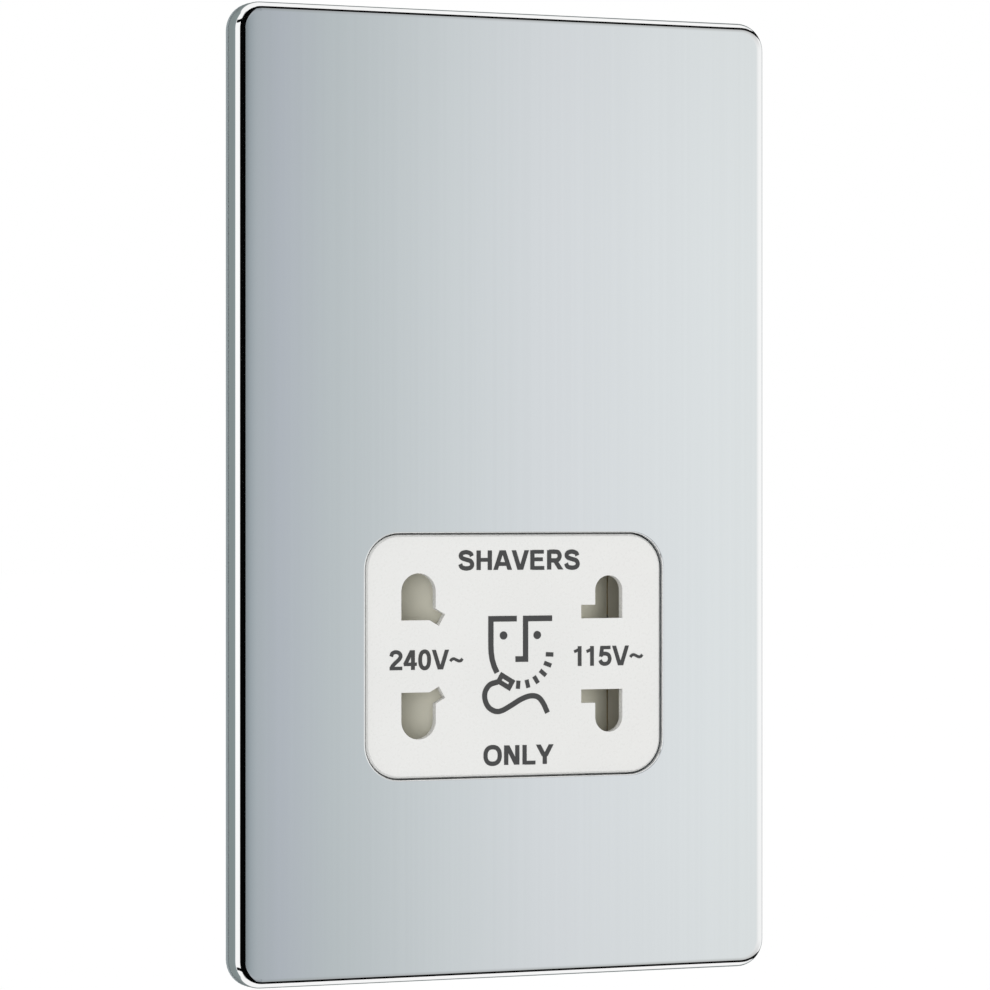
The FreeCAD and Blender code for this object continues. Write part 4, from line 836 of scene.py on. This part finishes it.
def studio_colour(net):
    """What bright metal sees: a graded card to the right of the plate's front, and the tones of the room.

    The turn is the angle in degrees from the plate's front towards its left, the rise that from level.
    A dark ledge runs along the left, the front grows darker with the rise, and all is white high up.
    """
    ray = net.node("ShaderNodeTexCoord").outputs["Generated"]
    x, y, z = net.node("ShaderNodeSeparateXYZ", {0: ray}).outputs
    left = net.math("ARCTAN2", net.math("MULTIPLY", x, -1.0), net.math("MULTIPLY", y, -1.0))
    turn = net.math("DEGREES", left)
    rise = net.math("DEGREES", net.math("ABSOLUTE", net.math("ARCSINE", z)))
    right = net.math("MULTIPLY", turn, -1.0)
    dark, white = (0.001, 0.0012, 0.0012, 1.0), (1.0, 1.0, 1.0, 1.0)
    on_card = net.math("MULTIPLY", net.math("GREATER_THAN", right, CARD[0][0]),
                       net.math("LESS_THAN", right, CARD[-1][0]))
    level = net.mix(on_card, tone_ramp(net, turn, ROOM), tone_ramp(net, right, CARD))
    level = net.mix(net.spread(rise, 3.0, 8.0, 0.0, 0.04), level, dark)
    ledge = net.math("MULTIPLY", net.math("COMPARE", turn, 66.0, 27.0),
                     net.math("COMPARE", rise, 27.0, 4.5))
    level = net.mix(ledge, level, dark)
    ahead = net.math("MULTIPLY", net.spread(turn, -95.0, -75.0), net.math("LESS_THAN", turn, 41.0))
    dim = net.math("MULTIPLY", ahead, net.spread(rise, 8.0, 38.0, 0.0, 0.48, "LINEAR"))
    level = net.mix(dim, level, dark)
    return net.mix(net.spread(rise, 48.0, 55.0), level, white)


def soft_world(scene, light):
    """Even pale light; bright metal mirrors the studio instead."""
    net = Net(bpy.data.worlds.new("soft_studio"))
    path = net.node("ShaderNodeLightPath")
    seen = net.mix(path.outputs["Is Glossy Ray"], (light, light, light, 1.0), studio_colour(net))
    back = net.node("ShaderNodeBackground", {"Color": seen, "Strength": 1.0})
    out = net.node("ShaderNodeOutputWorld")
    net.put(out.inputs["Surface"], back.outputs["Background"])
    scene.world = net.owner


# How far the dark card stands before the plate.
CARD_GAP = 15 * MM

# Edge of the dark card at the left, in millimetres right of the plate's left edge and above its top.
LEFT_CARD = ((6.33, -2.4), (5.5, 1.2), (5.2, 4.2), (6.0, 10.3), (8.3, 26.0), (3.9, 24.5), (-1.0, 23.4),
             (-5.0, 19.6), (-7.8, 15.1), (-10.1, 10.7), (-11.6, 6.6), (-12.4, -2.0))

# The dark strip over the plate: right of its left edge, behind its front, foot and head above its top.
TOP_STRIP = ((6.0, -15.0, 10.5, 27.0), (20.0, -15.0, 11.3, 32.0), (92.0, -15.0, 11.8, 34.0),
             (98.5, -15.0, 14.0, 36.0), (109.5, -15.0, 20.0, 44.0), (109.5, 0.0, 11.7, 24.0),
             (109.5, 15.0, 6.5, 17.0), (109.5, 31.0, 4.0, 16.0))


def dark_cards():
    """Black cards round the plate that only reflections show: one at its left, a strip over and under it.

    The card is a flat outline, the strip joins a foot and a head line, and both are mirrored in Z.
    """
    low, high = (np.array(corner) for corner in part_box("front_plate"))
    side = np.array(LEFT_CARD) * MM
    card = np.stack([low[0] + side[:, 0], np.full(len(side), low[1] - CARD_GAP), high[2] + side[:, 1]], -1)
    strip = np.array(TOP_STRIP) * MM
    foot = np.stack([low[0] + strip[:, 0], low[1] + strip[:, 1], high[2] + strip[:, 2]], -1)
    head = np.stack([foot[:, 0], foot[:, 1], high[2] + strip[:, 3]], -1)
    under = np.array([1.0, 1.0, -1.0])
    points = np.concatenate([card, card[::-1] * under, foot, head, foot * under, head * under])
    first, count = 2 * len(card), len(strip)
    i = first + np.arange(count - 1)
    quads = np.stack([i, i + 1, i + 1 + count, i + count], -1)
    mesh = bpy.data.meshes.new("dark_cards")
    strips = np.concatenate([quads, quads + 2 * count])
    mesh.from_pydata(points.tolist(), [], [list(range(first)), *strips.tolist()])

    def inputs(net):
        felt = net.grain((900.0, 900.0, 900.0), 2.0)
        return {"Base Color": net.mix(felt, (0.001, 0.001, 0.001, 1.0), (0.002, 0.002, 0.002, 1.0)),
                "Roughness": 1.0, "Specular IOR Level": 0.0}
    mesh.materials.append(surface("black_felt", inputs))
    cards = bpy.data.objects.new("dark_cards", mesh)
    bpy.context.scene.collection.objects.link(cards)
    for ray in ("camera", "diffuse", "transmission", "volume_scatter", "shadow"):
        setattr(cards, "visible_" + ray, False)


def pale_floor(level):
    """Wide pale sheet: white that takes a faint shadow."""
    half = 12.0
    corners = [(-half, -half, level), (half, -half, level), (half, half, level), (-half, half, level)]
    mesh = bpy.data.meshes.new("pale_floor")
    mesh.from_pydata(corners, [], [(0, 1, 2, 3)])

    def inputs(net):
        mottle = net.grain((3.0, 3.0, 3.0), 2.0)
        return {"Base Color": net.mix(mottle, (0.5, 0.5, 0.5, 1.0), (0.505, 0.505, 0.505, 1.0)),
                "Roughness": 1.0, "Specular IOR Level": 0.0,
                "Emission Color": (1.0, 1.0, 1.0, 1.0), "Emission Strength": 0.5}
    mesh.materials.append(surface("pale_paper", inputs))
    floor = bpy.data.objects.new("pale_floor", mesh)
    bpy.context.scene.collection.objects.link(floor)
    floor.visible_glossy = False


class SHAVER_OT_stage(bpy.types.Operator):
    """Set up the floor, the soft light and the camera"""

    bl_idname = "shaver.stage"
    bl_label = "Stage"

    def execute(self, context):
        scene, stage = context.scene, context.scene.shaver_stage
        soft_world(scene, stage.light)
        pale_floor(CAD_BOX[0][2] - stage.drop)
        dark_cards()
        camera = bpy.data.cameras.new("photo_camera")
        camera.lens, camera.sensor_width, camera.clip_start = stage.lens, 36.0, 0.01
        holder = bpy.data.objects.new("photo_camera", camera)
        holder.location = (stage.camera_x, stage.camera_y, 0.0)
        holder.rotation_euler = (math.radians(90), 0.0, -stage.turn)
        scene.collection.objects.link(holder)
        scene.camera = holder
        scene.view_settings.view_transform = "Standard"
        scene.view_settings.look = "None"
        return {"FINISHED"}


OPERATORS = (SHAVER_OT_chrome_plate, SHAVER_OT_mouldings, SHAVER_OT_contacts, SHAVER_OT_transformer,
             SHAVER_OT_leads, SHAVER_OT_fasteners, SHAVER_OT_centring_spring, SHAVER_OT_face_print,
             SHAVER_OT_stage)
SETTINGS = {"shaver_finish": ShaverFinish, "shaver_plate": ShaverPlate, "shaver_print": ShaverPrint,
            "shaver_spring": ShaverSpring, "shaver_screw": ShaverScrew, "shaver_stage": ShaverStage}


class SHAVER_PT_panel(bpy.types.Panel):
    """Sizes, colours and steps of the shaver socket"""

    bl_idname = "SHAVER_PT_panel"
    bl_label = "Shaver Socket"
    bl_space_type = "VIEW_3D"
    bl_region_type = "UI"
    bl_category = "Shaver Socket"

    def draw(self, context):
        for name, group in SETTINGS.items():
            box = self.layout.box()
            box.label(text=group.__doc__)
            for key in group.__annotations__:
                box.prop(getattr(context.scene, name), key)
        for operator in OPERATORS:
            self.layout.operator(operator.bl_idname)


CLASSES = (*SETTINGS.values(), *OPERATORS, SHAVER_PT_panel)


def register():
    for cls in CLASSES:
        bpy.utils.register_class(cls)
    for name, group in SETTINGS.items():
        setattr(bpy.types.Scene, name, bpy.props.PointerProperty(type=group))


def unregister():
    for name in SETTINGS:
        delattr(bpy.types.Scene, name)
    for cls in reversed(CLASSES):
        bpy.utils.unregister_class(cls)


def main():
    register()
    bpy.ops.shaver.chrome_plate()
    bpy.ops.shaver.mouldings()
    bpy.ops.shaver.contacts()
    bpy.ops.shaver.transformer()
    bpy.ops.shaver.leads()
    bpy.ops.shaver.fasteners()
    bpy.ops.shaver.centring_spring()
    bpy.ops.shaver.face_print()
    bpy.ops.shaver.stage()


if __name__ == "__main__":
    main()
